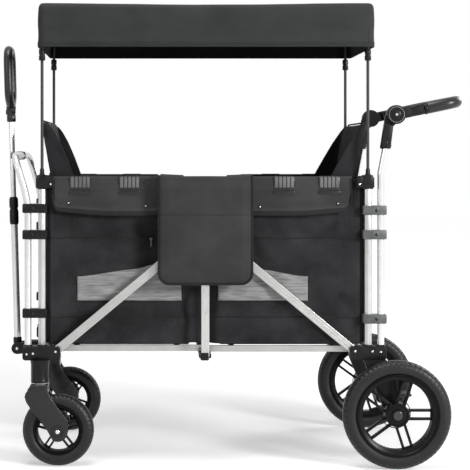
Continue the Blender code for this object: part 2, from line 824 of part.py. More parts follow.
def push_handle():
    """The U-shaped push bar with its hinge discs, and the foam grip on it."""
    out = Vector((math.cos(ARM_RISE), 0, math.sin(ARM_RISE)))
    hinge = Vector((HINGE_X, 0, HINGE_Z))
    far = hinge + out * ARM_LENGTH
    near = hinge + out * (SLEEVE_START + 0.002)
    y = POST_Y
    route = [
        (near.x, -y, near.z),
        (far.x, -y, far.z),
        (far.x, y, far.z),
        (near.x, y, near.z),
    ]
    bar = tube("push_handle_bar", bend(route, GRIP_CORNER, 5), ARM_RADIUS, BLACK_PLASTIC)
    for side, _ in SIDES:
        low = POST_Y
        disc = across(
            "arm_disc",
            HINGE_X,
            HINGE_Z,
            HINGE_RADIUS,
            side * low,
            side * (low + HINGE_DISC),
            BLACK_PLASTIC,
        )
        knob = across(
            "knob",
            HINGE_X,
            HINGE_Z,
            0.015,
            side * (low + HINGE_DISC - 0.001),
            side * (low + HINGE_DISC + 0.004),
            BLACK_PLASTIC,
            16,
        )
        centre = Vector((0, side * (low + HINGE_DISC / 2), 0))
        neck = cylinder(
            "arm_neck",
            hinge + centre + out * 0.012,
            hinge + centre + out * 0.050,
            HINGE_DISC / 2 - 0.0004,
            BLACK_PLASTIC,
            10,
        )
        sleeve = cylinder(
            "arm_sleeve",
            hinge + Vector((0, side * POST_Y, 0)) + out * SLEEVE_START,
            hinge + Vector((0, side * POST_Y, 0)) + out * (GRIP_START - 0.002),
            SLEEVE_RADIUS - 0.001,
            BLACK_PLASTIC,
        )
        join(bar, sleeve, neck, disc, knob)
    attach(bar, push)
    begin = hinge + out * GRIP_START
    grip_route = [
        (begin.x, -y, begin.z),
        (far.x, -y, far.z),
        (far.x, y, far.z),
        (begin.x, y, begin.z),
    ]
    grip = tube("push_grip", bend(grip_route, GRIP_CORNER, 5), GRIP_RADIUS, FOAM)
    longer = hinge + out * (GRIP_START - 0.015)
    core_route = [
        (longer.x, -y, longer.z),
        (far.x, -y, far.z),
        (far.x, y, far.z),
        (longer.x, y, longer.z),
    ]
    core = tube("grip_core", bend(core_route, GRIP_CORNER, 5), ARM_RADIUS + GAP, FOAM)
    cut(grip, core)
    attach(grip, push)


def linkage():
    """The crossing side bars, the upright centre bars and the beam under the floor's middle."""
    pin = PIN_RADIUS + PIN_CLEARANCE
    for side, word in SIDES:
        for name, x, bar_y, body in (
            ("rear_diagonal", REAR_PIVOT_X, REAR_BAR_Y, rear_bars),
            ("front_diagonal", FRONT_PIVOT_X, FRONT_BAR_Y, front_bars),
        ):
            outline = bar_outline((x, PIVOT_Z), (HUB_X, HUB_Z), BAR_HEIGHT)
            made = plate(
                f"{name}_{word}", outline, side * bar_y, BAR_THICKNESS, ALUMINIUM
            )
            holes = [
                drill_across("pivot_hole", x, PIVOT_Z, pin, side * 0.20, side * 0.24, ALUMINIUM, 12)
            ]
            if body is front_bars:
                holes.append(
                    drill_across("hub_hole", HUB_X, HUB_Z, pin, side * 0.20, side * 0.24, ALUMINIUM, 12)
                )
            cut(made, *holes)
            if body is rear_bars:
                outer = CENTRE_BAR_Y + BAR_THICKNESS / 2
                join(
                    made,
                    across(
                        "hub_pin",
                        HUB_X,
                        HUB_Z,
                        PIN_RADIUS,
                        side * REAR_BAR_Y,
                        side * (outer + 0.002),
                        STEEL,
                        12,
                    ),
                    across(
                        "pin_head",
                        HUB_X,
                        HUB_Z,
                        0.006,
                        side * (outer + GAP),
                        side * (outer + 0.0025),
                        STEEL,
                    ),
                )
            attach(made, body)
        foot_z = PIVOT_Z - CENTRE_BEAM_DROP
        outline = rounded(
            HUB_X - CENTRE_BAR_WIDTH / 2,
            HUB_X + CENTRE_BAR_WIDTH / 2,
            foot_z,
            HUB_Z + 0.014,
            0.006,
        )
        bar = plate(
            f"centre_bar_{word}", outline, side * CENTRE_BAR_Y, BAR_THICKNESS, ALUMINIUM
        )
        cut(bar, drill_across("hub_hole", HUB_X, HUB_Z, pin, side * 0.20, side * 0.25, ALUMINIUM, 12))
        attach(bar, middle)
    inner = CENTRE_BAR_Y - BAR_THICKNESS / 2 - GAP
    beam_top = FLOOR_PIVOT_Z - RAIL_HEIGHT / 2 - 0.001
    beam = box(
        "centre_beam",
        (HUB_X - 0.016, -inner, beam_top - 0.012),
        (HUB_X + 0.016, inner, beam_top),
        BLACK_PLASTIC,
        0.002,
    )
    attach(beam, middle)


def floor_half(name, pivot_x, rail_y, way, body):
    """One half of the folding floor: side rails with pivot holes, two cross tubes and a board."""
    middle_x = pivot_x + way * FLOOR_HALF_SPAN
    rails = []
    for side, _ in SIDES:
        outline = bar_outline((pivot_x, FLOOR_PIVOT_Z), (middle_x, FLOOR_PIVOT_Z), RAIL_HEIGHT)
        rail = plate("rail", outline, side * rail_y, BAR_THICKNESS, ALUMINIUM)
        rails.append(rail)
    frame = rails[0]
    frame.name = f"{name}_floor_frame"
    tubes = [
        across(
            "floor_tube",
            pivot_x + way * reach,
            FLOOR_PIVOT_Z,
            FLOOR_TUBE_RADIUS,
            -rail_y,
            rail_y,
            ALUMINIUM,
            12,
        )
        for reach in (0.050, FLOOR_REACH - 0.032)
    ]
    join(frame, *tubes, rails[1])
    hole = PIN_RADIUS + PIN_CLEARANCE
    cut(frame, drill_across("pivot_hole", pivot_x, FLOOR_PIVOT_Z, hole, -0.21, 0.21, ALUMINIUM, 12))
    attach(frame, body)
    board_z = FLOOR_PIVOT_Z + RAIL_HEIGHT / 2 + GAP
    ends = sorted((pivot_x + way * 0.012, pivot_x + way * FLOOR_REACH))
    half = FRONT_RAIL_Y - BAR_THICKNESS / 2 - 0.001
    board = box(
        f"{name}_floor_board",
        (ends[0], -half, board_z),
        (ends[1], half, board_z + BOARD_THICKNESS),
        BOARD,
        0.0015,
    )
    attach(board, body)
    seat_z = board_z + BOARD_THICKNESS + GAP
    seat_ends = sorted((pivot_x + way * SEAT_START, pivot_x + way * (FLOOR_REACH - 0.010)))
    cushion(f"{name}_seat", seat_ends, 0.168, seat_z, SEAT_THICKNESS, body)


def cushion(name, ends, half_width, z, thickness, body):
    """A thin seat pad with a crown and drawn-in sides, sewn through at two cross channels."""
    bm = bmesh.new()
    columns, rows = 9, 6
    length = ends[1] - ends[0]

    def height(u, v):
        edge = min(1.0, 5.0 * min(u, 1 - u)) * min(1.0, 5.0 * min(v, 1 - v))
        channel = min(abs(u - 1 / 3), abs(u - 2 / 3)) * 12
        return thickness * (0.35 + 0.65 * math.sqrt(max(edge, 0.0)) * min(1.0, 0.6 + channel))

    grid = {}
    for layer in (0, 1):
        for i in range(columns + 1):
            for j in range(rows + 1):
                u, v = i / columns, j / rows
                x = ends[0] + u * length
                y = (2 * v - 1) * half_width
                top = height(u, v) if layer else 0.0
                grid[layer, i, j] = bm.verts.new((x, y, z + top))
    for i in range(columns):
        for j in range(rows):
            for layer in (0, 1):
                quad = ((i, j), (i + 1, j), (i + 1, j + 1), (i, j + 1))
                bm.faces.new([grid[layer, a, b] for a, b in quad])
    edge_line = [(i, 0) for i in range(columns)] + [(columns, j) for j in range(rows)]
    edge_line += [(i, rows) for i in range(columns, 0, -1)] + [(0, j) for j in range(rows, 0, -1)]
    for a, b in zip(edge_line, edge_line[1:] + edge_line[:1]):
        bm.faces.new([grid[0, *a], grid[0, *b], grid[1, *b], grid[1, *a]])
    bmesh.ops.recalc_face_normals(bm, faces=bm.faces)
    attach(mesh_from(name, bm, FABRIC), body)


def end_panel(name, x, way, body):
    """The fabric end wall between the posts."""
    ends = sorted((x - way * GAP, x - way * (GAP + PANEL_THICKNESS)))
    made = box(
        name,
        (ends[0], -TUB_Y, TUB_BOTTOM_Z),
        (ends[1], TUB_Y, RIM_Z),
        FABRIC,
        0.001,
    )
    attach(made, body)


def seat_back(name, x, way, body):
    """A padded back that leans out over the end wall, with a wing on each side."""
    bm = bmesh.new()
    rows, columns = 9, 8
    half = SEAT_BACK_WIDTH / 2
    start = x + way * GAP

    def lean(z):
        above = max(0.0, z - RIM_Z - 0.001) / (SEAT_BACK_TOP - RIM_Z)
        return start - way * SEAT_BACK_LEAN * above

    below, level = 4, RIM_Z + 0.001
    layers = {}
    for i in range(rows + 1):
        if i <= below:
            z = SEAT_BACK_BOTTOM + (level - SEAT_BACK_BOTTOM) * i / below
        else:
            z = level + (SEAT_BACK_TOP - level) * (i - below) / (rows - below)
        for j in range(columns + 1):
            v = 2 * j / columns - 1
            corner = max(0.0, i / rows - 0.85) * 0.35
            y = v * half * (1 - corner)
            crown = math.sqrt(max(0.0, (1 - abs(v) ** 6) * math.sin(math.pi * (i + 0.6) / (rows + 1.2))))
            thick = SEAT_BACK_THICKNESS * (0.35 + 0.65 * crown)
            layers[0, i, j] = bm.verts.new((lean(z), y, z))
            layers[1, i, j] = bm.verts.new((lean(z) + way * thick, y, z))
    for i in range(rows):
        for j in range(columns):
            for side in (0, 1):
                quad = ((i, j), (i + 1, j), (i + 1, j + 1), (i, j + 1))
                bm.faces.new([layers[side, a, b] for a, b in quad])
    line = [(i, 0) for i in range(rows)] + [(rows, j) for j in range(columns)]
    line += [(i, columns) for i in range(rows, 0, -1)] + [(0, j) for j in range(columns, 0, -1)]
    for a, b in zip(line, line[1:] + line[:1]):
        bm.faces.new([layers[0, *a], layers[0, *b], layers[1, *b], layers[1, *a]])
    bmesh.ops.recalc_face_normals(bm, faces=bm.faces)
    back = mesh_from(name, bm, FABRIC)
    for side, _ in SIDES:
        outline = [
            (start + way * 0.002, WING_BOTTOM),
            (start + way * WING_DEPTH * 0.8, WING_BOTTOM + 0.006),
            (start + way * WING_DEPTH, RIM_Z),
            (start + way * WING_DEPTH * 0.45, RIM_Z + 0.085),
            (lean(SEAT_BACK_TOP - 0.02) + way * 0.004, SEAT_BACK_TOP - 0.02),
            (lean(RIM_Z) + way * 0.002, RIM_Z),
        ]
        join(back, plate("wing", outline, side * (half - 0.007), 0.012, FABRIC))
    attach(back, body)


def tub_sides():
    """The two long fabric walls, each with a turned-over flap at the rim."""
    for side, word in SIDES:
        wall = box(
            f"basket_side_{word}",
            (TUB_FRONT_X, min(side * TUB_Y, side * (TUB_Y - PANEL_THICKNESS)), TUB_BOTTOM_Z),
            (TUB_REAR_X, max(side * TUB_Y, side * (TUB_Y - PANEL_THICKNESS)), RIM_Z),
            FABRIC,
            0.001,
        )
        attach(wall, rear)


def side_pocket():
    """The organiser that hangs outside the linkage on the left side."""
    inner = CENTRE_BAR_Y + BAR_THICKNESS / 2 + 0.0032
    low, high = HUB_X - POCKET_WIDTH / 2, HUB_X + POCKET_WIDTH / 2
    made = plate(
        "side_pocket",
        rounded(low, high, POCKET_BOTTOM, POCKET_TOP, 0.030, 5),
        -(inner + POCKET_DEPTH / 2),
        POCKET_DEPTH,
        FABRIC,
    )
    hanger = box(
        "pocket_hanger",
        (low + 0.02, -(inner + 0.004), RIM_Z - 0.012),
        (high - 0.02, -(TUB_Y + GAP), RIM_Z + 0.002),
        FABRIC,
        0.001,
    )
    join(made, hanger)
    attach(made, rear)


def canopy():
    """The sunshade: a thin roof with four valances, on two bows that plug into the posts."""
    low_x = FRONT_POST_X - CANOPY_OVERHANG
    high_x = REAR_POST_X + CANOPY_OVERHANG + 0.006
    roof = box(
        "canopy_roof",
        (low_x, -CANOPY_HALF_WIDTH, HEM_Z),
        (high_x, CANOPY_HALF_WIDTH, CANOPY_TOP),
        CANOPY_FABRIC,
        CANOPY_CORNER,
    )
    hollow = box(
        "canopy_hollow",
        (low_x + PANEL_THICKNESS, -CANOPY_HALF_WIDTH + PANEL_THICKNESS, HEM_Z - 0.05),
        (high_x - PANEL_THICKNESS, CANOPY_HALF_WIDTH - PANEL_THICKNESS, CANOPY_TOP - PANEL_THICKNESS),
        CANOPY_FABRIC,
        # The inner chamfer that leaves the same wall at the corners
        CANOPY_CORNER - (2 - math.sqrt(2)) * PANEL_THICKNESS,
    )
    cut(roof, hollow)
    attach(roof, rear)
    for name, x, body in (
        ("front_canopy_bow", FRONT_POST_X, front),
        ("rear_canopy_bow", REAR_POST_X, rear),
    ):
        top = CANOPY_TOP - PANEL_THICKNESS - GAP - POLE_RADIUS
        y = POST_Y
        bottom = POST_TOP - 0.0247
        route = [(x, -y, bottom), (x, -y, top), (x, y, top), (x, y, bottom)]
        bow = tube(name, bend(route, 0.025, 3), POLE_RADIUS, DARK_ROD)
        for side, _ in SIDES:
            collar = cylinder(
                "collar",
                (x, side * y, POLE_COLLAR_Z),
                (x, side * y, POLE_COLLAR_Z + POLE_COLLAR_HEIGHT),
                POLE_COLLAR_RADIUS,
                BLACK_PLASTIC,
                16,
            )
            ferrule = cylinder(
                "ferrule",
                (x, side * y, POST_TOP + 0.0018),
                (x, side * y, POST_TOP + 0.0018 + FERRULE_HEIGHT),
                FERRULE_RADIUS,
                BLACK_PLASTIC,
                16,
            )
            join(bow, collar, ferrule)
        attach(bow, body)


def tyre_profile(radius, width, depth):
    """Half-round tread with straight sides, from the bead outwards."""
    half = width / 2
    shoulder = width * 0.32
    inner = radius - depth
    points = [(inner, -half * BEAD_SHARE), (radius - shoulder, -half)]
    for i in range(1, 4):
        angle = math.pi / 2 * i / 3
        points.append(
            (radius - shoulder + shoulder * math.sin(angle), -half + shoulder * (1 - math.cos(angle)))
        )
    points += [(r, -h) for r, h in reversed(points)]
    return points


def wheel(word, name, centre, radius, width, tyre_depth, rim_depth, hub, bore, body, steps):
    """A foam tyre on a moulded rim with five pairs of spokes."""
    axis = (0, 1, 0)
    # A flat of the tread lies at the bottom, on the floor.
    tread = radius / math.cos(math.pi / steps)
    tyre = turned(
        f"{name}_tyre_{word}", tyre_profile(tread, width, tyre_depth), centre, axis, TYRE, steps
    )
    turn = Matrix.Rotation(math.pi / steps, 4, "Y")
    place = Matrix.Translation(centre)
    tyre.data.transform(place @ turn @ place.inverted())
    attach(tyre, body)
    rim_outer = tread - tyre_depth - GAP
    half = BEAD_SHARE * width / 2
    ring = [
        (rim_outer, -half),
        (rim_outer, half),
        (rim_outer - rim_depth, half * 0.92),
        (rim_outer - rim_depth, -half * 0.92),
    ]
    rim = turned(f"{name}_rim_{word}", ring, centre, axis, RIM_PLASTIC, steps)
    rim.data.transform(place @ turn @ place.inverted())
    hub_half = HUB_SHARE * width / 2
    hub_part = cylinder(
        "hub",
        Vector(centre) - Vector((0, hub_half, 0)),
        Vector(centre) + Vector((0, hub_half, 0)),
        hub,
        RIM_PLASTIC,
        24,
    )
    spokes = []
    for i in range(SPOKE_COUNT):
        for offset in (-SPOKE_SPACING / 2, SPOKE_SPACING / 2):
            spoke = box(
                "spoke",
                (offset * SPOKE_SCALE[name] - SPOKE_WIDTH / 2, -0.008, hub * 0.55),
                (offset * SPOKE_SCALE[name] + SPOKE_WIDTH / 2, 0.008, rim_outer - rim_depth / 2),
                RIM_PLASTIC,
            )
            angle = 2 * math.pi * i / SPOKE_COUNT + SPOKE_PHASE[name]
            spoke.data.transform(place @ Matrix.Rotation(angle, 4, "Y"))
            spokes.append(spoke)
    join(rim, *spokes, hub_part)
    hole = drill(
        "bore",
        Vector(centre) - Vector((0, width, 0)),
        Vector(centre) + Vector((0, width, 0)),
        bore + PIN_CLEARANCE,
        RIM_PLASTIC,
        20,
    )
    cut(rim, hole)
    attach(rim, body)


def rear_wheels():
    """The rear axle with its turned-down ends and caps, and the wheels on it."""
    reach = POST_Y + 0.026
    hub_end = REAR_WHEEL_Y + HUB_SHARE * REAR_TYRE_WIDTH / 2
    axle = across(
        "rear_axle",
        REAR_AXLE_X,
        REAR_RADIUS,
        REAR_AXLE_RADIUS,
        -reach,
        reach,
        STEEL,
    )
    for side, word in SIDES:
        spindle = across(
            "spindle",
            REAR_AXLE_X,
            REAR_RADIUS,
            AXLE_RADIUS,
            side * POST_Y,
            side * (hub_end + 0.002),
            STEEL,
        )
        cap = across(
            "cap",
            REAR_AXLE_X,
            REAR_RADIUS,
            AXLE_CAP_RADIUS,
            side * (hub_end + GAP),
            side * (hub_end + 0.003),
            STEEL,
        )
        join(axle, spindle, cap)
        centre = (REAR_AXLE_X, side * REAR_WHEEL_Y, REAR_RADIUS)
        body = empty(f"rear_wheel_{word}", centre, rear)
        wheel(
            word,
            "rear",
            centre,
            REAR_RADIUS,
            REAR_TYRE_WIDTH,
            REAR_TYRE_DEPTH,
            REAR_RIM_DEPTH,
            REAR_HUB_RADIUS,
            AXLE_RADIUS,
            body,
            32,
        )
    attach(axle, rear)


def brake_pedal():
    """The foot brake, clamped round the middle of the axle."""
    half = BRAKE_PEDAL_WIDTH / 2
    collar = across(
        "brake_pedal", REAR_AXLE_X, REAR_RADIUS, BRAKE_COLLAR_RADIUS, -half, half, BLACK_PLASTIC, 24
    )
    pedal = box(
        "pedal",
        (REAR_AXLE_X + 0.008, -half, REAR_RADIUS + 0.002),
        (REAR_AXLE_X + BRAKE_PEDAL_REACH, half, REAR_RADIUS + 0.012),
        BLACK_PLASTIC,
        0.003,
    )
    join(collar, pedal)
    hole = drill_across(
        "axle_hole",
        REAR_AXLE_X,
        REAR_RADIUS,
        REAR_AXLE_RADIUS + PIN_CLEARANCE,
        -half - 0.01,
        half + 0.01,
        BLACK_PLASTIC,
    )
    cut(collar, hole)
    attach(collar, brake)


def casters():
    """The swivelling front forks with their wheels."""
    for side, word in SIDES:
        y = side * CASTER_Y
        top = BRACKET_BOTTOM - CASTER_HOUSING_HEIGHT - RUNNING_CLEARANCE
        body = empty(f"caster_{word}", (SWIVEL_X, y, top), front)
        inside = FRONT_TYRE_WIDTH / 2 + 0.004
        crown_bottom = FRONT_RADIUS * 2 + 0.006
        crown = plate(
            f"fork_{word}",
            rounded(SWIVEL_X - 0.026, SWIVEL_X + 0.040, crown_bottom, top, 0.009),
            y,
            2 * (inside + FORK_PLATE),
            BLACK_PLASTIC,
        )
        stem = cylinder(
            "stem",
            (SWIVEL_X, y, top - 0.01),
            (SWIVEL_X, y, top + RUNNING_CLEARANCE + STEM_LENGTH),
            STEM_RADIUS,
            STEEL,
            16,
        )
        axle_place = (CASTER_X, FRONT_RADIUS)
        blade_outline = (
            [(SWIVEL_X + 0.036, crown_bottom + 0.012)]
            + [(SWIVEL_X - 0.024, crown_bottom + 0.014)]
            + [(SWIVEL_X - 0.030, crown_bottom - 0.010)]
            + [(SWIVEL_X - 0.016, crown_bottom - 0.040)]
            + arc(axle_place, 0.016, 200, 380, 8)
            + [(SWIVEL_X + 0.045, crown_bottom - 0.028)]
        )
        blades = [
            plate(
                "blade",
                blade_outline,
                y + way * (inside + FORK_PLATE / 2),
                FORK_PLATE,
                BLACK_PLASTIC,
            )
            for way in (-1, 1)
        ]
        axle = across(
            "caster_axle",
            *axle_place,
            CASTER_AXLE_RADIUS,
            y - inside - FORK_PLATE - 0.001,
            y + inside + FORK_PLATE + 0.001,
            STEEL,
            16,
        )
        join(crown, *blades, stem, axle)
        attach(crown, body)
        centre = (CASTER_X, y, FRONT_RADIUS)
        wheel_body = empty(f"caster_wheel_{word}", centre, body)
        wheel(
            word,
            "front",
            centre,
            FRONT_RADIUS,
            FRONT_TYRE_WIDTH,
            FRONT_TYRE_DEPTH,
            FRONT_RIM_DEPTH,
            FRONT_HUB_RADIUS,
            CASTER_AXLE_RADIUS,
            wheel_body,
            28,
        )


def pull_handle():
    """The telescoping pull handle, its pivot bracket and its loop grip."""
    pivot = Vector((PULL_PIVOT_X, 0, PULL_PIVOT_Z))
    up = Vector((-math.sin(PULL_LEAN), 0, math.cos(PULL_LEAN)))
    cheek = 0.0155
    bracket = plate(
        "pull_pivot_bracket",
        arc((PULL_PIVOT_X, PULL_PIVOT_Z), 0.016, 90, 270, 8)
        + [(FRONT_POST_X + 0.013, CROSS_TUBE_Z - 0.014), (FRONT_POST_X + 0.013, CROSS_TUBE_Z + 0.014)],
        0.0,
        2 * cheek + 0.010,
        BLACK_PLASTIC,
    )
    slot = box(
        "handle_slot",
        (PULL_PIVOT_X - 0.03, -cheek + 0.0045, PULL_PIVOT_Z - 0.03),
        (PULL_PIVOT_X + 0.020, cheek - 0.0045, PULL_PIVOT_Z + 0.03),
        BLACK_PLASTIC,
    )
    tube_hole = drill_across(
        "tube_hole",
        FRONT_POST_X,
        CROSS_TUBE_Z,
        CROSS_TUBE_RADIUS + GAP,
        -0.04,
        0.04,
        BLACK_PLASTIC,
    )
    cut(bracket, slot, tube_hole)
    join(
        bracket,
        across("pivot_pin", PULL_PIVOT_X, PULL_PIVOT_Z, PULL_PIN_RADIUS, -cheek, cheek, STEEL, 16),
    )
    attach(bracket, front)
    low = pivot + up * 0.006
    high = pivot + up * LOWER_TUBE_LENGTH
    lower = cylinder("pull_tube_lower", low, high, LOWER_TUBE_RADIUS, ALUMINIUM, 20)
    eye = across("eye", PULL_PIVOT_X, PULL_PIVOT_Z, 0.0135, -0.0105, 0.0105, BLACK_PLASTIC, 24)
    collar = cylinder(
        "collar", high - up * COLLAR_LENGTH, high + up * 0.004, COLLAR_RADIUS, BLACK_PLASTIC, 20
    )
    join(lower, eye, collar)
    bore = drill(
        "slide_bore",
        pivot + up * 0.022,
        high + up * 0.02,
        UPPER_TUBE_RADIUS + GAP,
        ALUMINIUM,
        20,
    )
    pin_hole = drill_across(
        "pin_hole",
        PULL_PIVOT_X,
        PULL_PIVOT_Z,
        PULL_PIN_RADIUS + PIN_CLEARANCE,
        -0.02,
        0.02,
        ALUMINIUM,
        16,
    )
    cut(lower, bore, pin_hole)
    attach(lower, pull)
    top = high + up * UPPER_TUBE_EXPOSED
    upper = cylinder(
        "pull_tube_upper",
        top - up * (UPPER_TUBE_EXPOSED + UPPER_TUBE_HIDDEN),
        top,
        UPPER_TUBE_RADIUS,
        DARK_ROD,
        20,
    )
    attach(upper, pull_slide)
    loop_low = top + up * (0.012 + GRIP_BAR_RADIUS)
    loop_high = top + up * (GRIP_HEIGHT - GRIP_BAR_RADIUS)
    half = GRIP_WIDTH / 2 - GRIP_BAR_RADIUS
    side = Vector((0, 1, 0))
    corners = [
        loop_high,
        loop_high + side * half,
        loop_low + up * 0.030 + side * half,
        loop_low,
        loop_low + up * 0.030 - side * half,
        loop_high - side * half,
        loop_high,
    ]
    ring = bend(corners, 0.030, 5)[:-1]
    grip = tube("pull_grip", ring, GRIP_BAR_RADIUS, FOAM, loop=True)
    neck = cylinder("neck", top - up * 0.016, loop_low, COLLAR_RADIUS, FOAM, 20)
    join(grip, neck)
    hole = drill(
        "tube_socket", top - up * 0.03, top + up * GAP, UPPER_TUBE_RADIUS + GAP, FOAM, 20
    )
    cut(grip, hole)
    attach(grip, pull_slide)


frame_ends()
front_bow()
push_legs()
push_handle()
linkage()
floor_half("rear", REAR_PIVOT_X, REAR_RAIL_Y, -1, rear_floor)
floor_half("front", FRONT_PIVOT_X, FRONT_RAIL_Y, 1, front_floor)
end_panel("basket_rear_panel", TUB_REAR_X, -1, rear)
end_panel("basket_front_panel", TUB_FRONT_X, 1, front)
seat_back("rear_seat_back", TUB_REAR_X, -1, rear)
seat_back("front_seat_back", TUB_FRONT_X, 1, front)
tub_sides()
side_pocket()
canopy()
rear_wheels()
brake_pedal()
casters()
pull_handle()
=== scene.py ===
"""Looks of the folding wagon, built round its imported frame. Metres, +Z up, front at -X, near side at -Y."""

import math

import bmesh
import bpy
from mathutils import Matrix, Vector, noise


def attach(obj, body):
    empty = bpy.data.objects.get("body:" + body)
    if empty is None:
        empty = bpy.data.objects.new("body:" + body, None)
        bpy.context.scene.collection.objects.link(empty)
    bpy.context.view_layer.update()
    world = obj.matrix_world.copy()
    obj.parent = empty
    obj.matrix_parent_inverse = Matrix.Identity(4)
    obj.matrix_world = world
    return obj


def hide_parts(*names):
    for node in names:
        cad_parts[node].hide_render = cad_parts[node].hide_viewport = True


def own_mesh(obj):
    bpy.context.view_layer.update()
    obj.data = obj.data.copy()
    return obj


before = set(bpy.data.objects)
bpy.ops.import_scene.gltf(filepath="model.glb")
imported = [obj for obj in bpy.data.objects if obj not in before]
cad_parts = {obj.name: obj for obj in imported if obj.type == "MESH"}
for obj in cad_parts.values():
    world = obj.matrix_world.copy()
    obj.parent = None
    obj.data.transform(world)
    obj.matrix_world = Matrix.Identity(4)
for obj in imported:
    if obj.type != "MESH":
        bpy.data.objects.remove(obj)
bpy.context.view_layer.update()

# Places that the source of the part gives
FRONT_POST_X = -0.4945
REAR_POST_X = 0.3615
POST_Y = 0.212
POST_RADIUS = 0.010
POST_TOP = 0.757
BOW_LEG_X = -0.5315
PUSH_LEG_X = 0.3955
LEG_RADIUS = 0.009
LEG_FOOT = 0.2955
BRACKET_BOTTOM = 0.274
BRACKET_TOP = 0.310
BRACKET_INNER_Y = 0.199
FRONT_PIVOT_X = -0.4575
REAR_PIVOT_X = 0.3245
PIVOT_Z = 0.297
FLOOR_Z = 0.300
HUB = (-0.0665, 0.622)
REAR_AXLE_X = 0.4275
REAR_RADIUS = 0.140
REAR_WHEEL_Y = 0.268
REAR_TYRE_WIDTH = 0.048
CASTER_X = -0.4505
CASTER_Y = 0.228
SWIVEL_X = -0.4985
FRONT_RADIUS = 0.093
FRONT_TYRE_WIDTH = 0.042
RIM_Z = 0.748
TUB_BOTTOM = 0.314
TUB_FRONT = -0.475
TUB_REAR = 0.342
TUB_HALF_WIDTH = 0.2062
FOLD_X = -0.0795
SEAT_BACK_TOP = 0.915
CANOPY_FRONT = -0.5065
CANOPY_REAR = 0.3795
CANOPY_HALF_WIDTH = 0.228
CANOPY_TOP = 1.211
HEM_Z = 1.094

ACROSS = Vector((0, 1, 0))
HINGE = Vector((0.4355, 0, 0.917))
ARM_OUT = Vector((math.cos(math.radians(12)), 0, math.sin(math.radians(12))))
SLEEVE_DOWN = Vector((-0.028, 0, -0.088)).normalized()
PULL_PIVOT = Vector((-0.5795, 0, 0.275))
PULL_UP = Vector((-math.sin(math.radians(1.6)), 0, math.cos(math.radians(1.6))))

SIDES = (("left", -1), ("right", 1))
# Each end: the X of its posts and of its end wall, the way to the tub's middle, and its body
ENDS = (("front", FRONT_POST_X, TUB_FRONT, 1, "front_frame"), ("rear", REAR_POST_X, TUB_REAR, -1, "rear_frame"))
# The X of the leg beside each end's posts, and the heights of the clamps that hold it
LEGS = {"front": (BOW_LEG_X, (0.671, 0.602, 0.396)), "rear": (PUSH_LEG_X, (0.666, 0.602, 0.381))}


def colour(code):
    """The linear colour of an sRGB hex value."""
    parts = [int(code[i:i + 2], 16) / 255 for i in (1, 3, 5)]
    return [c / 12.92 if c < 0.04045 else ((c + 0.055) / 1.055) ** 2.4 for c in parts] + [1]


def add(tree, kind, inputs=(), **settings):
    """Adds a node; inputs gives each socket a value or the socket that feeds it."""
    node = tree.nodes.new(kind)
    for name, value in settings.items():
        setattr(node, name, value)
    for socket, value in dict(inputs).items():
        if isinstance(value, bpy.types.NodeSocket):
            tree.links.new(value, node.inputs[socket])
        else:
            node.inputs[socket].default_value = value
    return node


def surface(name, **sockets):
    """A new material with its shader, whose plain sockets are set at once, and the place on the object."""
    material = bpy.data.materials.new(name)
    material.use_nodes = True
    tree = material.node_tree
    shader = tree.nodes["Principled BSDF"]
    for socket, value in sockets.items():
        shader.inputs[socket.replace("_", " ")].default_value = value
    place = add(tree, "ShaderNodeTexCoord").outputs["Object"]
    return material, tree, shader, place


def tint(tree, shader, factor, dark, light, low=0.3, high=0.7):
    """Colours the surface between two hex values by a pattern."""
    ramp = add(tree, "ShaderNodeValToRGB", {"Fac": factor})
    ramp.color_ramp.elements[0].position = low
    ramp.color_ramp.elements[0].color = colour(dark)
    ramp.color_ramp.elements[1].position = high
    ramp.color_ramp.elements[1].color = colour(light)
    tree.links.new(ramp.outputs["Color"], shader.inputs["Base Color"])
    return ramp


def roughen(tree, shader, factor, low, high):
    """Lets the roughness run between two values with a pattern."""
    spread = add(tree, "ShaderNodeMapRange", {"Value": factor, "To Min": low, "To Max": high})
    tree.links.new(spread.outputs["Result"], shader.inputs["Roughness"])


def relief(tree, shader, height, depth, strength):
    """Raises the surface by a pattern, depth in metres."""
    bump = add(tree, "ShaderNodeBump", {"Height": height, "Distance": depth, "Strength": strength})
    tree.links.new(bump.outputs["Normal"], shader.inputs["Normal"])


def waves(tree, place, spacing, direction):
    """Straight lines that far apart in metres, across one direction of the object."""
    return add(tree, "ShaderNodeTexWave", {"Vector": place, "Scale": 0.31416 / spacing},
               bands_direction=direction).outputs["Fac"]


def clouds(tree, place, size, detail, stretch=(1, 1, 1)):
    """Soft blotches of about that size in metres."""
    mapped = add(tree, "ShaderNodeMapping", {"Vector": place, "Scale": [1 / (size * s) for s in stretch]})
    return add(tree, "ShaderNodeTexNoise",
               {"Vector": mapped.outputs["Vector"], "Scale": 1.0, "Detail": detail}).outputs["Fac"]


def mixed(tree, operation, first, second, third=0.0):
    """One number from two or three, by a math operation."""
    return add(tree, "ShaderNodeMath", {0: first, 1: second, 2: third}, operation=operation).outputs[0]


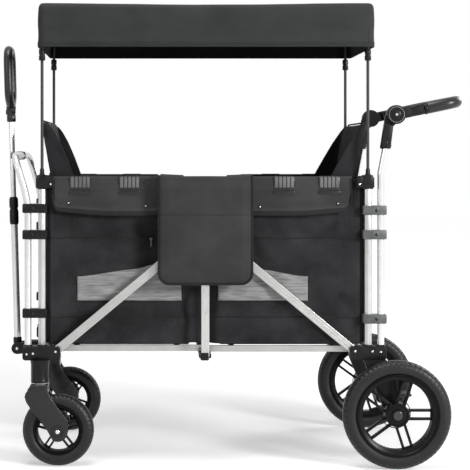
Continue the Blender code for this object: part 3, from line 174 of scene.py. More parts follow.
def woven(name, dark, light, thread, sheen, rough=(0.82, 0.95), slack=0.0016):
    """Plain-woven polyester: two crossing sets of threads, soft blotches where it is rubbed, a faint sheen."""
    material, tree, shader, place = surface(name, Sheen_Weight=sheen, Sheen_Roughness=0.5,
                                            Specular_IOR_Level=0.08, IOR=1.5)
    level = waves(tree, place, thread, "X")
    upright = waves(tree, place, thread, "Z")
    deep = waves(tree, place, thread, "Y")
    weave = mixed(tree, "MULTIPLY", mixed(tree, "MULTIPLY", level, upright), mixed(tree, "ADD", deep, 0.3))
    blotch = clouds(tree, place, 0.09, 5.0)
    tint(tree, shader, mixed(tree, "MULTIPLY_ADD", weave, 0.25, blotch), dark, light, 0.25, 0.95)
    roughen(tree, shader, blotch, *rough)
    folds = clouds(tree, place, 0.035, 2.0)
    relief(tree, shader, mixed(tree, "MULTIPLY_ADD", weave, 0.12, folds), slack, 0.5)
    return material


def net():
    """Knitted polyester net: mid grey with level streaks and rows of small holes, dull."""
    material, tree, shader, place = surface("knitted_polyester_net", Specular_IOR_Level=0.2, Sheen_Weight=0.1)
    streak = clouds(tree, place, 0.004, 3.0, (9, 9, 1))
    # The holes are really 1.2 mm apart and are drawn at 2.4 mm, so that they show
    holes = mixed(tree, "MULTIPLY", waves(tree, place, 0.0024, "X"), waves(tree, place, 0.0024, "Z"))
    tint(tree, shader, mixed(tree, "MULTIPLY_ADD", holes, 0.35, streak), "#6b6b6b", "#a6a6a6", 0.3, 0.85)
    roughen(tree, shader, streak, 0.8, 0.95)
    relief(tree, shader, holes, 0.0005, 0.6)
    return material


def drawn_metal(name, dark, light, rough, direction):
    """Drawn and anodised aluminium: pale satin metal with faint lines along its length and handling marks."""
    stretch = {"X": (40, 1, 1), "Y": (1, 40, 1), "Z": (1, 1, 40)}[direction]
    material, tree, shader, place = surface(name, Metallic=0.65, Anisotropic=0.4)
    lines = clouds(tree, place, 0.0012, 2.0, stretch)
    marks = clouds(tree, place, 0.03, 4.0)
    tint(tree, shader, mixed(tree, "MULTIPLY_ADD", marks, 0.4, mixed(tree, "MULTIPLY", lines, 0.6)), dark, light)
    roughen(tree, shader, lines, *rough)
    relief(tree, shader, lines, 0.00003, 0.3)
    return material


def moulded(name, dark, light, grain, rough, depth=0.00012, **sockets):
    """Injection-moulded plastic: a fine sparked grain, slightly cloudy, with a soft gloss."""
    sockets = {"Specular_IOR_Level": 0.13, **sockets}
    material, tree, shader, place = surface(name, IOR=1.5, **sockets)
    cloud = clouds(tree, place, 0.02, 4.0)
    sparks = clouds(tree, place, grain, 2.0)
    tint(tree, shader, mixed(tree, "MULTIPLY_ADD", sparks, 0.3, mixed(tree, "MULTIPLY", cloud, 0.7)), dark, light)
    roughen(tree, shader, cloud, *rough)
    relief(tree, shader, sparks, depth, 0.6)
    return material


def plated():
    """Zinc-plated steel: bright, slightly mottled, for rivets, bolts and springs."""
    material, tree, shader, place = surface("zinc_plated_steel", Metallic=1.0)
    bloom = clouds(tree, place, 0.002, 3.0)
    tint(tree, shader, bloom, "#b8babd", "#e6e8ea")
    roughen(tree, shader, bloom, 0.18, 0.32)
    relief(tree, shader, bloom, 0.00005, 0.4)
    return material


# Threads are really 0.4 mm apart and are drawn at 1.2 to 2.2 mm, so that they show
TUB_CLOTH = woven("woven_polyester_600d", "#18181a", "#3e3e40", 0.0016, 0.10, slack=0.0040)
POCKET_CLOTH = woven("woven_polyester_pocket", "#303031", "#454546", 0.0016, 0.12)
CANOPY_CLOTH = woven("coated_polyester_canopy", "#2c2d2d", "#3a3b3b", 0.0014, 0.06, (0.55, 0.7), 0.0016)
CANOPY_HEM = woven("bound_polyester_hem", "#2b2c2c", "#38393a", 0.0014, 0.10, (0.7, 0.85))
LINING_CLOTH = woven("woven_polyester_lining", "#141415", "#1e1e20", 0.0018, 0.05)
BINDING_TAPE = woven("grosgrain_polyester_tape", "#202021", "#303032", 0.0012, 0.08)
FLAP_CLOTH = woven("woven_polyester_flap", "#303031", "#464647", 0.0016, 0.15)
SEAT_CLOTH = woven("brushed_polyester_seat", "#1d1d1f", "#333335", 0.0018, 0.14)
WEBBING = woven("polyester_webbing", "#2a2a2b", "#4a4a4b", 0.0022, 0.08, (0.5, 0.7))
# Light grey for the ribs of the webbing loops: a painted highlight where the webbing curves over the rim
WEBBING_RIB_HIGHLIGHT = woven("webbing_ribs_painted_highlight", "#525253", "#848485", 0.0022, 0.10, (0.35, 0.5))
NET = net()
UPRIGHT_ALUMINIUM = drawn_metal("anodised_aluminium_upright", "#b6b6b5", "#cbcbca", (0.24, 0.34), "Z")
BRIGHT_ALUMINIUM = drawn_metal("polished_aluminium_tube", "#d4d4d3", "#eaeae9", (0.18, 0.28), "Z")
LEVEL_ALUMINIUM = drawn_metal("anodised_aluminium_level", "#a9a9a7", "#bdbdbb", (0.28, 0.40), "X")
CROSS_ALUMINIUM = drawn_metal("anodised_aluminium_across", "#a9a9a7", "#bdbdbb", (0.30, 0.42), "Y")
ZINC = plated()
# The grain is really 0.2 mm and is drawn at 1 to 2 mm, so that it shows
NYLON = moulded("glass_filled_nylon", "#101011", "#1d1d1e", 0.0010, (0.26, 0.40), Specular_IOR_Level=0.18)
GLOSSY_NYLON = moulded("polished_nylon", "#0f0f10", "#1a1a1b", 0.0020, (0.20, 0.32), 0.00003,
                      Specular_IOR_Level=0.4)
# Grey nylon for the zip tab, and for the rear clamps, whose grey is a painted reflection of the posts' highlight on
# the same dark nylon as the front clamps
GREY_NYLON_AND_REFLECTION = moulded("grey_nylon_and_painted_reflection", "#48494a", "#6a6b6b", 0.0010, (0.30, 0.45), Specular_IOR_Level=0.3)
RIM_PLASTIC = moulded("moulded_polypropylene_rim", "#0b0b0c", "#151516", 0.0012, (0.24, 0.36))
TYRE_RUBBER = moulded("foamed_rubber_tyre", "#0e0e0e", "#191919", 0.0015, (0.36, 0.5), 0.00012,
                      Specular_IOR_Level=0.32)
GRIP_FOAM = moulded("closed_cell_foam_grip", "#121212", "#1f1f1f", 0.0011, (0.26, 0.38), 0.00015,
                    Specular_IOR_Level=0.4)
ROD_PAINT = moulded("powder_coated_steel_rod", "#38393a", "#4a4b4c", 0.0010, (0.30, 0.42), 0.00006)
FOAM_BOARD = moulded("covered_fibreboard", "#1b1b1c", "#29292a", 0.0016, (0.7, 0.85), 0.0002)
# Grey plastic for the rest on the front bow, and for the thin rings on the push bar's hinges, which are a painted
# highlight
GREY_REST_AND_HIGHLIGHT = moulded("moulded_grey_rest_and_painted_highlight", "#7d7e80", "#9a9b9d", 0.0012, (0.35, 0.5))
THREAD = moulded("polyester_sewing_thread", "#2e2e2f", "#3e3e3f", 0.0015, (0.6, 0.75), 0.00005)


def finish_piece(name, bm, materials, body, crisp=35.0):
    """Closes a bmesh into a piece that rides on a body. Edges sharper than crisp degrees stay sharp."""
    for face in bm.faces:
        face.smooth = True
    for edge in bm.edges:
        edge.smooth = not edge.is_manifold or edge.calc_face_angle(0.0) < math.radians(crisp)
    mesh = bpy.data.meshes.new(name)
    bm.to_mesh(mesh)
    bm.free()
    for material in materials if isinstance(materials, (list, tuple)) else [materials]:
        mesh.materials.append(material)
    made = bpy.data.objects.new(name, mesh)
    bpy.context.scene.collection.objects.link(made)
    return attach(made, body)


def shown_as(made, node):
    """Hides the CAD node that a piece stands for."""
    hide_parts(node)


def facing(axis):
    """The turn that brings +Z onto an axis."""
    return Vector(axis).normalized().to_track_quat("Z", "Y").to_matrix().to_4x4()


def outward(centre, side):
    """The place of a wheel: its Z points away from the wagon and its X to the rear."""
    x, y, z = centre
    return Matrix(((1, 0, 0, x), (0, 0, side, y), (0, -side, 0, z), (0, 0, 0, 1)))


def along(origin, axis):
    """The place whose Z runs along an axis from an origin, with its Y kept across the wagon."""
    z = axis.normalized()
    return Matrix.Translation(origin) @ Matrix((ACROSS.cross(z), ACROSS, z)).transposed().to_4x4()


def arc(centre, radius, start, end, steps):
    """Points along part of a circle, in degrees."""
    angles = [math.radians(start + (end - start) * step / steps) for step in range(steps + 1)]
    return [(centre[0] + radius * math.cos(a), centre[1] + radius * math.sin(a)) for a in angles]


def paint(faces, index):
    """Gives faces one of the materials of their piece."""
    for face in faces:
        face.material_index = index


def bevel(bm, edges, rounding, segments):
    """Rounds edges; a rounding of 0 leaves them sharp."""
    if rounding:
        bmesh.ops.bevel(bm, geom=list(edges), offset=rounding, offset_type="OFFSET", segments=segments,
                        profile=0.5, affect="EDGES", clamp_overlap=True, material=-1)


def soften(bm, verts, rounding, index=0, segments=2):
    """Rounds the edges of a new shape and gives its faces their material."""
    paint({face for vert in verts for face in vert.link_faces}, index)
    bevel(bm, {edge for vert in verts for edge in vert.link_edges}, rounding, segments)
    return verts


def add_block(bm, corner, opposite, rounding, index=0):
    """A box with rounded edges between two opposite corners, whichever way round they are given."""
    low, high = (Vector([pick(pair) for pair in zip(corner, opposite)]) for pick in (min, max))
    made = bmesh.ops.create_cube(bm, size=1)["verts"]
    place = Matrix.Translation((low + high) / 2) @ Matrix.Diagonal((*(high - low), 1))
    bmesh.ops.transform(bm, verts=made, matrix=place)
    return soften(bm, made, rounding, index)


def side_block(bm, side, run, outwards, rise, rounding, index=0):
    """A box by its spans in X, outwards from the middle of the wagon, and in Z."""
    add_block(bm, *((x, side * y, z) for x, y, z in zip(run, outwards, rise)), rounding, index)


def add_rod(bm, start, end, radius, sides, rounding=0.0):
    """A round bar between two points, its ends rounded by rounding."""
    start, end = Vector(start), Vector(end)
    axis = end - start
    made = bmesh.ops.create_cone(bm, cap_ends=True, segments=sides, radius1=radius, radius2=radius,
                                 depth=axis.length)["verts"]
    bmesh.ops.transform(bm, verts=made, matrix=Matrix.Translation((start + end) / 2) @ facing(axis))
    caps = [face for vert in made for face in vert.link_faces if len(face.verts) > 4]
    bevel(bm, {edge for face in caps for edge in face.edges}, rounding, 3)


def add_turned(bm, profile, place, steps, index=0, closed=True):
    """A turned shape: the profile, in pairs of radius and height, goes round the Z axis of place."""
    verts = [bm.verts.new((radius, 0, height)) for radius, height in profile]
    pairs = list(zip(verts, verts[1:] + verts[:1] if closed else verts[1:]))
    edges = [bm.edges.new(pair) for pair in pairs]
    before = set(bm.faces)
    bmesh.ops.spin(bm, geom=verts + edges, cent=(0, 0, 0), axis=(0, 0, 1), angle=math.tau, steps=steps,
                   use_merge=True)
    faces = [face for face in bm.faces if face not in before]
    around = {vert for face in faces for vert in face.verts}
    bmesh.ops.remove_doubles(bm, verts=list(around), dist=1e-6)
    faces = [face for face in bm.faces if face not in before]
    bmesh.ops.recalc_face_normals(bm, faces=faces)
    paint(faces, index)
    around = list({vert for face in faces for vert in face.verts})
    bmesh.ops.transform(bm, verts=around, matrix=place)
    return around


def add_plate(bm, outline, near, far, rounding):
    """A flat outline in X and Z given thickness along Y, its edges rounded."""
    near, far = sorted((near, far))
    face = bm.faces.new([bm.verts.new((x, near, z)) for x, z in outline])
    made = bmesh.ops.extrude_face_region(bm, geom=[face])["geom"]
    pushed = [item for item in made if isinstance(item, bmesh.types.BMVert)]
    bmesh.ops.translate(bm, verts=pushed, vec=(0, far - near, 0))
    verts = {vert for top in pushed for edge in top.link_edges for vert in edge.verts}
    bmesh.ops.recalc_face_normals(bm, faces=list({face for vert in verts for face in vert.link_faces}))
    edges = [edge for edge in {edge for vert in verts for edge in vert.link_edges}
             if edge.calc_face_angle(0.0) > math.radians(50)]
    bevel(bm, edges, rounding, 3)


def bolt_head(bm, place, radius, height, index):
    """A domed rivet or screw head with a shallow recess."""
    profile = [(0.0, height * 0.7), (radius * 0.35, height * 0.7), (radius * 0.45, height),
               (radius * 0.8, height * 0.75), (radius, 0.0), (radius, -0.001), (0.0, -0.001)]
    add_turned(bm, profile, place, 20, index=index, closed=False)


def rivet(bm, x, out, z, side, radius):
    """A domed rivet on a face that looks outwards, that far out from the middle of the wagon."""
    bolt_head(bm, outward((x, side * out, z), side), radius, radius * 0.45, 1)


def rounded(points, corner, loop=False):
    """The points of a line whose corners are arcs of that radius, or as large as fits."""
    points = [Vector(point) for point in points]
    count = len(points)
    path = []
    steps = 10
    for index, point in enumerate(points):
        if not loop and index in (0, count - 1):
            path.append(point)
            continue
        before = points[index - 1] - point
        after = points[(index + 1) % count] - point
        half = before.angle(after) / 2
        back = min(corner / math.tan(half), before.length * 0.49, after.length * 0.49)
        first = point + before.normalized() * back
        last = point + after.normalized() * back
        radius = back * math.tan(half)
        centre = point + (before.normalized() + after.normalized()).normalized() * radius / math.sin(half)
        turn = (first - centre).rotation_difference(last - centre)
        for step in range(steps + 1):
            part = turn.copy()
            part.angle = turn.angle * step / steps
            path.append(centre + part @ (first - centre))
    return path


def swept(name, points, radius, material, body, corner=0.0, sides=8, loop=False, radii=None):
    """A bent tube: straight runs joined by round corners, closed at its ends."""
    path = rounded(points, corner, loop) if corner else [Vector(point) for point in points]
    curve = bpy.data.curves.new(name, "CURVE")
    curve.dimensions = "3D"
    curve.bevel_depth = radius
    curve.bevel_resolution = sides
    curve.use_fill_caps = True
    spline = curve.splines.new("POLY")
    spline.points.add(len(path) - 1)
    spline.use_cyclic_u = loop
    spline.use_smooth = True
    for index, point in enumerate(path):
        spline.points[index].co = (*point, 1)
        spline.points[index].radius = radii[index] if radii else 1.0
    held = bpy.data.objects.new(name + "_line", curve)
    bpy.context.scene.collection.objects.link(held)
    bpy.context.view_layer.update()
    bm = bmesh.new()
    mesh = bpy.data.meshes.new_from_object(held.evaluated_get(bpy.context.evaluated_depsgraph_get()))
    bm.from_mesh(mesh)
    bpy.data.objects.remove(held)
    bpy.data.meshes.remove(mesh)
    bmesh.ops.remove_doubles(bm, verts=bm.verts, dist=1e-6)
    return finish_piece(name, bm, material, body)


def light(name, place, target, size, watts):
    """A square area lamp that looks at a target."""
    lamp = bpy.data.lights.new(name, "AREA")
    lamp.size = size
    lamp.energy = watts
    made = bpy.data.objects.new(name, lamp)
    made.location = place
    made.rotation_euler = (Vector(target) - Vector(place)).to_track_quat("-Z", "Y").to_euler()
    bpy.context.scene.collection.objects.link(made)


def seen_directly(tree):
    """1 for what the camera, a reflection or clear plastic shows of the backdrop, 0 for the light that it gives."""
    rays = add(tree, "ShaderNodeLightPath").outputs
    seen = mixed(tree, "ADD", rays["Is Camera Ray"], rays["Is Glossy Ray"])
    return mixed(tree, "MINIMUM", mixed(tree, "ADD", seen, rays["Is Transmission Ray"]), 1.0)


def studio():
    """A white sweep, a soft top light, a key light from the right, two weak fills and a level camera."""
    scene = bpy.context.scene
    white, tree, paper, spot = surface("matt_studio_paper", Base_Color=colour("#e9e9e9"), Roughness=0.9,
                                       Emission_Color=(1, 1, 1, 1))
    # Brighter far away, where the lamps fall off, so that the sweep meets the backdrop unseen
    away = add(tree, "ShaderNodeVectorMath", {0: spot}, operation="LENGTH").outputs["Value"]
    fill = add(tree, "ShaderNodeMapRange", {"Value": away, "From Min": 0.9, "From Max": 4.0,
                                            "To Min": 0.40, "To Max": 0.80}).outputs["Result"]
    tree.links.new(mixed(tree, "MULTIPLY", seen_directly(tree), fill), paper.inputs["Emission Strength"])
    bm = bmesh.new()
    bmesh.ops.create_grid(bm, x_segments=1, y_segments=1, size=14)
    floor = bpy.data.objects.new("floor", bpy.data.meshes.new("floor"))
    bm.to_mesh(floor.data)
    bm.free()
    floor.data.materials.append(white)
    scene.collection.objects.link(floor)

    scene.world = bpy.data.worlds.new("studio_white")
    scene.world.use_nodes = True
    sky = scene.world.node_tree
    power = add(sky, "ShaderNodeMapRange", {"Value": seen_directly(sky), "To Min": 0.14, "To Max": 1.0})
    sky.nodes["Background"].inputs["Color"].default_value = (1, 1, 1, 1)
    sky.links.new(power.outputs["Result"], sky.nodes["Background"].inputs["Strength"])

    light("soft_top", (-0.4, -0.7, 3.3), (0, 0, 0.5), 1.4, 56)
    light("near_left", (-2.4, -2.9, 1.7), (0, 0, 0.5), 0.9, 14)
    light("key_right", (3.0, -2.9, 1.75), (0, -0.2, 0.5), 1.0, 150)
    light("far_right", (2.4, 1.6, 1.9), (0, 0, 0.5), 1.0, 26)

    lens = bpy.data.cameras.new("camera")
    lens.sensor_width = 36.0
    lens.lens = 104.6
    # The near side stands square to the picture though the eye is left of its middle and above it
    lens.shift_x = 0.172
    lens.shift_y = -0.176
    lens.clip_start = 0.05
    camera = bpy.data.objects.new("camera", lens)
    camera.location = (-0.20, -3.80, 0.818)
    camera.rotation_euler = (math.radians(90), 0, 0)
    scene.collection.objects.link(camera)
    scene.camera = camera
    scene.view_settings.view_transform = "Standard"


def dress(material, *names):
    """Gives CAD nodes their finish."""
    for name in names:
        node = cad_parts[name]
        node.data.materials.clear()
        node.data.materials.append(material)


def mirrored(profile, half):
    """A profile of radii and shares of half the width, carried on to the wheel's other side."""
    return [(r, h * half) for r, h in profile] + [(r, -h * half) for r, h in reversed(profile)]


def tyre(name, place, radius, width, depth, body, lugs, node):
    """A foam tyre with rounded shoulders, two grooves round the tread and lugs cut across its edges."""
    half = width / 2
    inner = radius - depth
    side_wall = [(inner, 0.80), (inner + 0.003, 0.90), (inner + depth * 0.30, 0.985), (inner + depth * 0.42, 1.0),
                 (radius - 0.0125, 0.95), (radius - 0.0075, 0.85), (radius - 0.0035, 0.68), (radius - 0.0012, 0.50),
                 (radius - 0.0004, 0.34), (radius - 0.0018, 0.31), (radius - 0.0018, 0.26), (radius, 0.23)]
    steps = lugs * 3
    bm = bmesh.new()
    for vert in add_turned(bm, mirrored(side_wall, half), Matrix.Identity(4), steps):
        reach = math.hypot(vert.co.x, vert.co.y)
        step = round(math.atan2(vert.co.y, vert.co.x) / math.tau * steps) % 3
        if reach > radius - 0.009 and abs(vert.co.z) > 0.36 * half and step == 0:
            scale = (reach - 0.0022) / reach
            vert.co.x *= scale
            vert.co.y *= scale
    bmesh.ops.transform(bm, verts=bm.verts, matrix=place)
    shown_as(finish_piece(name, bm, TYRE_RUBBER, body, 22), node)


def turn_new(bm, verts, degrees, rounding):
    """Turns a new shape about the wheel's axle, then rounds its edges."""
    bmesh.ops.transform(bm, verts=verts, matrix=Matrix.Rotation(math.radians(degrees), 4, "Z"))
    soften(bm, verts, rounding)


def rim(name, place, outer, depth, width, hub, spacing, spoke, phase, body, node):
    """A moulded rim: a dished ring, five pairs of spokes that meet it in a web, and a stepped hub."""
    half = width / 2
    inner = outer - depth
    dish = [(outer, 0.80), (outer - 0.0012, 0.90), (outer - 0.0032, 0.90), (outer - 0.0045, 0.78),
            (inner + depth * 0.45, 0.66), (inner + 0.0022, 0.60), (inner, 0.52)]
    bm = bmesh.new()
    add_turned(bm, mirrored(dish, half), Matrix.Identity(4), 96)
    web = spacing / 2 + spoke * 0.5
    for index in range(5):
        made = []
        for shift in (-spacing / 2, spacing / 2):
            made += add_block(bm, (hub * 0.6, shift - spoke / 2, -0.30 * half),
                              (inner + 0.003, shift + spoke / 2, 0.30 * half), 0.0)
        made += add_block(bm, (inner - 0.0035, -web, -0.22 * half), (inner + 0.003, web, 0.22 * half), 0.0)
        turn_new(bm, made, phase + 72 * index, 0.0013)
    steps = [(0.0, 0.70), (0.30, 0.70), (0.34, 0.82), (0.50, 0.86), (0.54, 0.66), (0.80, 0.62), (0.84, 0.70),
             (0.96, 0.68), (1.0, 0.60), (1.0, -0.80), (0.0, -0.86)]
    add_turned(bm, [(r * hub, h * half) for r, h in steps], Matrix.Identity(4), 48, closed=False)
    # Ten shallow pockets round the face of the hub
    for index in range(10):
        made = add_block(bm, (hub * 0.86, -hub * 0.10, 0.40 * half), (hub * 1.06, hub * 0.10, 0.66 * half), 0.0)
        turn_new(bm, made, 36 * (index + 0.5), 0.0008)
    bmesh.ops.transform(bm, verts=bm.verts, matrix=place)
    shown_as(finish_piece(name, bm, RIM_PLASTIC, body), node)


def wheels():
    """The four wheels; the rear ones also have a hub cap and the ring that the brake grips."""
    hub_cap = [(0.0, 0.0225), (0.0061, 0.0222), (0.0108, 0.0213), (0.0135, 0.0195), (0.0135, 0.0165), (0.0, 0.0165)]
    for word, side in SIDES:
        place = outward((REAR_AXLE_X, side * REAR_WHEEL_Y, REAR_RADIUS), side)
        body = f"rear_wheel_{word}"
        tyre(f"foam_tyre_rear_{word}", place, REAR_RADIUS, REAR_TYRE_WIDTH, 0.033, body, 60, f"rear_tyre_{word}")
        rim(f"spoked_rim_rear_{word}", place, REAR_RADIUS - 0.0332, 0.0165, REAR_TYRE_WIDTH, 0.031, 0.022, 0.0064, 0,
            body, f"rear_rim_{word}")
        bm = bmesh.new()
        add_turned(bm, hub_cap, place, 32, closed=False)
        finish_piece(f"hub_cap_rear_{word}", bm, GLOSSY_NYLON, body)
        bm = bmesh.new()
        add_turned(bm, arc((0.0385, -0.0185), 0.0012, 0, 330, 11), place, 64)
        finish_piece(f"brake_ring_{word}", bm, NYLON, body)

        place = outward((CASTER_X, side * CASTER_Y, FRONT_RADIUS), side)
        body = f"caster_wheel_{word}"
        tyre(f"foam_tyre_front_{word}", place, FRONT_RADIUS, FRONT_TYRE_WIDTH, 0.029, body, 44,
             f"front_tyre_{word}")
        rim(f"spoked_rim_front_{word}", place, FRONT_RADIUS - 0.0292, 0.0105, FRONT_TYRE_WIDTH, 0.017, 0.0125,
            0.0050, 20, body, f"front_rim_{word}")


def caster_forks():
    """Moulded forks: a swelling crown under the swivel, and a blade each side that runs back to the axle."""
    blade = [(-0.5215, 0.2135), (-0.4760, 0.2135), (-0.4775, 0.1985), (-0.4715, 0.1860), (-0.4235, 0.1190),
             (-0.4225, 0.1080), *arc((CASTER_X, FRONT_RADIUS), 0.0265, 12, -118, 9), (-0.4790, 0.0980),
             (-0.5235, 0.1560), (-0.5325, 0.1700), (-0.5365, 0.1830), (-0.5340, 0.1930), (-0.5270, 0.2010)]
    crown = [(-0.5215, 0.2148), (-0.4755, 0.2148), (-0.4765, 0.1990), (-0.4740, 0.1925), (-0.5320, 0.1925),
             (-0.5270, 0.2010)]
    boss = [(0.0, 0.0012), (0.0120, 0.0012), (0.0135, 0.0030), (0.0165, 0.0030), (0.0172, 0.0005), (0.0172, -0.003),
            (0.0, -0.003)]
    nut = [(0.0, 0.0048), (0.0032, 0.0046), (0.0052, 0.0032), (0.0052, 0.0), (0.0, 0.0)]
    for word, side in SIDES:
        bm = bmesh.new()
        middle = side * CASTER_Y
        add_plate(bm, crown, middle - 0.0300, middle + 0.0300, 0.0025)
        for way in (-1, 1):
            add_plate(bm, blade, middle + way * 0.0250, middle + way * 0.0325, 0.0022)
            place = outward((CASTER_X, middle + way * 0.0315, FRONT_RADIUS), way)
            add_turned(bm, boss, place, 40, closed=False)
            add_turned(bm, nut, place, 24, index=1, closed=False)
        shown_as(finish_piece(f"moulded_fork_{word}", bm, [GLOSSY_NYLON, ZINC], f"caster_{word}"),
                 f"fork_{word}")


def posts():
    """The four upright tubes, each with three clamps that hold the leg beside it."""
    for word, side in SIDES:
        y = side * POST_Y
        for end, x, _, inwards, body in ENDS:
            leg_x, heights = LEGS[end]
            way = -inwards
            bm = bmesh.new()
            add_rod(bm, (x, y, BRACKET_TOP - 0.012), (x, y, POST_TOP), POST_RADIUS, 40, 0.001)
            # Two grooves up the outer face, as an extruded tube has
            for vert in bm.verts:
                angle = abs(math.degrees(math.atan2(vert.co.x - x, (vert.co.y - y) * side)))
                if min(abs(angle - 27), abs(angle - 36)) < 3:
                    vert.co.x = x + (vert.co.x - x) * 0.88
                    vert.co.y = y + (vert.co.y - y) * 0.88
            shown_as(finish_piece(f"post_tube_{end}_{word}", bm, UPRIGHT_ALUMINIUM, body),
                     f"{end}_post_{word}")
            bm = bmesh.new()
            start, stop = x - way * (POST_RADIUS + 0.0042), leg_x + way * 0.0140
            middle = (start + stop) / 2
            face = y + side * 0.0142
            for height in heights:
                add_block(bm, (start, y - 0.0142, height - 0.0122), (stop, y + 0.0142, height + 0.0122), 0.0032)
                add_block(bm, (middle - 0.010, face - 0.0008, height - 0.0085),
                          (middle + 0.010, face + 0.0008, height + 0.0085), 0.0006)
                bolt_head(bm, outward((middle + way * 0.004, y + side * 0.0148, height), side), 0.0042, 0.0020, 1)
            # The rear clamps are drawn grey: a painted reflection of the post's highlight; the front ones stay dark
            # nylon
            clamp = GREY_NYLON_AND_REFLECTION if end == "rear" else NYLON
            finish_piece(f"leg_clamps_{end}_{word}", bm, [clamp, GLOSSY_NYLON], body)


def smoothstep(low, high, value):
    """A smooth rise from 0 at low to 1 at high."""
    share = min(1.0, max(0.0, (value - low) / (high - low)))
    return share * share * (3 - 2 * share)


def wrinkle(x, y, z, size):
    """A smooth random height from -1 to 1, with folds of about that size."""
    return noise.noise(Vector((x, y, z)) / size) + 0.4 * noise.noise(Vector((z, x, y)) * 2.3 / size)


def wall_depth(x, z):
    """How far the outside of a long wall lies from the middle: it hangs slack and folds in at its middle."""
    hold = smoothstep(TUB_FRONT, TUB_FRONT + 0.06, x) * (1 - smoothstep(TUB_REAR - 0.06, TUB_REAR, x))
    hold *= 1 - 0.8 * smoothstep(RIM_Z - 0.05, RIM_Z, z)
    # The wall stays out where the rear floor rail swings up beside it as the wagon folds
    rail = 0.297 - 0.6105 * (z - FLOOR_Z)
    hold *= 0.12 + 0.88 * smoothstep(0.032, 0.085, abs(x - rail))
    slack = 0.0090 + 0.0060 * wrinkle(x, 0.3, z * 1.6, 0.10) + 0.0078 * wrinkle(x * 0.4, 0.6, z, 0.042)
    slack += 0.0018 * wrinkle(x, 0.1, z, 0.035)
    fold = math.exp(-((x - FOLD_X) / 0.034) ** 4) * (1 - smoothstep(0.56, 0.66, z))
    crease = math.exp(-((x - FOLD_X) / 0.008) ** 2) * 0.006
    drape = 0.004 * math.exp(-((z - 0.345) / 0.03) ** 2)
    return TUB_HALF_WIDTH - 0.0003 - hold * (max(0.0, slack) + fold * (0.020 - crease) + drape)


def cloth(name, rows, columns, place, thickness, materials, body, close=False, tape=None):
    """A sheet from a grid: place(u, v) gives each point and tape(u, v) the faces of the second finish."""
    bm = bmesh.new()
    grid = [[bm.verts.new(place(i / columns, j / rows)) for i in range(columns + (0 if close else 1))]
            for j in range(rows + 1)]
    width = len(grid[0])
    for j in range(rows):
        for i in range(width if close else columns):
            after = (i + 1) % width
            face = bm.faces.new((grid[j][i], grid[j][after], grid[j + 1][after], grid[j + 1][i]))
            if tape and tape((i + 0.5) / columns, (j + 0.5) / rows):
                face.material_index = 1
    made = finish_piece(name, bm, materials, body, 60)
    if thickness:
        shell = made.modifiers.new("cloth_thickness", "SOLIDIFY")
        shell.thickness = abs(thickness)
        shell.offset = math.copysign(1, thickness)
    return made


def flatten(made):
    """Gives a cloth piece its own copy of its mesh."""
    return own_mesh(made)


def stitches(name, lines, body):
    """Rows of lock stitch; each line is its points with the way the cloth faces."""
    pitch, length, width = 0.0052, 0.0034, 0.0009
    bm = bmesh.new()
    for points, out in lines:
        out = Vector(out).normalized()
        points = [Vector(point) for point in points]
        left = 0.0
        for start, end in zip(points, points[1:]):
            run = end - start
            if run.length < 1e-6:
                continue
            along = run.normalized()
            across = out.cross(along).normalized()
            at = left
            while at < run.length:
                middle = start + along * at
                corners = [middle + along * (a * length / 2) + across * (b * width / 2) for a, b in
                           ((-1, -1), (1, -1), (1, 1), (-1, 1))]
                top = bm.verts.new(middle + out * 0.0006)
                base = [bm.verts.new(corner - out * 0.0003) for corner in corners]
                for a, b in zip(base, base[1:] + base[:1]):
                    bm.faces.new((a, b, top))
                bm.faces.new(base[::-1])
                at += pitch
            left = at - run.length
    bmesh.ops.recalc_face_normals(bm, faces=bm.faces)
    return finish_piece(name, bm, THREAD, body, 180)


def on_wall(x, z, side, lift=0.0):
    """A point on the outside of a long wall, or lifted off it."""
    return (x, side * (wall_depth(x, z) + lift), z)


def tub_wall(word, side):
    """A long wall of the tub."""
    def place(u, v):
        return on_wall(TUB_FRONT + (TUB_REAR - TUB_FRONT) * u, TUB_BOTTOM + (RIM_Z - TUB_BOTTOM) * v, side)

    made = cloth(f"tub_wall_{word}", 80, 150, place, side * 0.0024, [TUB_CLOTH], "rear_frame")
    shown_as(made, f"basket_side_{word}")
    flatten(made)


def net_window(end, x0, x1, word, side):
    """A tape-bound net window, low in the wall; its top edge rises towards the middle fold."""
    low = 0.4255

    def window(u, v):
        top = 0.4925 + 0.018 * smoothstep(0.0, 0.55, u) + 0.032 * smoothstep(0.5, 1.0, u)
        return on_wall(x0 + (x1 - x0) * u, low + (top - low) * v, side, 0.0006)

    flip = math.copysign(side, (x1 - x0) * side)
    made = cloth(f"net_window_{end}_{word}", 12, 44, window, flip * 0.0034, [NET], "rear_frame")
    flatten(made)
    edge = [window(i / 40, 1.0) for i in range(41)] + [window(1.0, 1 - i / 12) for i in range(1, 13)]
    edge += [window(1 - i / 40, 0.0) for i in range(1, 41)] + [window(0.0, i / 12) for i in range(1, 12)]
    edge = [(x, y - side * 0.0004, z) for x, y, z in edge]
    flatten(swept(f"window_binding_{end}_{word}", edge, 0.0015, BINDING_TAPE, "rear_frame", loop=True, sides=2))


def end_wall(end, x, way, body):
    """A wall at one end of the tub, with edge strips that close the corners between it and the posts."""
    bm = bmesh.new()
    for _, side in SIDES:
        side_block(bm, side, (x - way * 0.0125, x + way * 0.0020), (0.1900, 0.1972), (0.318, 0.741), 0.0022)
    finish_piece(f"edge_strips_{end}", bm, NYLON, body)

    def place(u, v):
        y = (2 * u - 1) * (TUB_HALF_WIDTH - 0.0030)
        z = TUB_BOTTOM + (RIM_Z - TUB_BOTTOM) * v
        hold = (1 - abs(2 * u - 1) ** 6) * (1 - 0.8 * v ** 6)
        return (x - way * (0.0006 - 0.0002 * hold * (1 + wrinkle(y, 0.7, z, 0.09))), y, z)

    made = cloth(f"end_wall_{end}", 60, 60, place, -0.0022 * way, [TUB_CLOTH], body)
    shown_as(made, f"basket_{end}_panel")


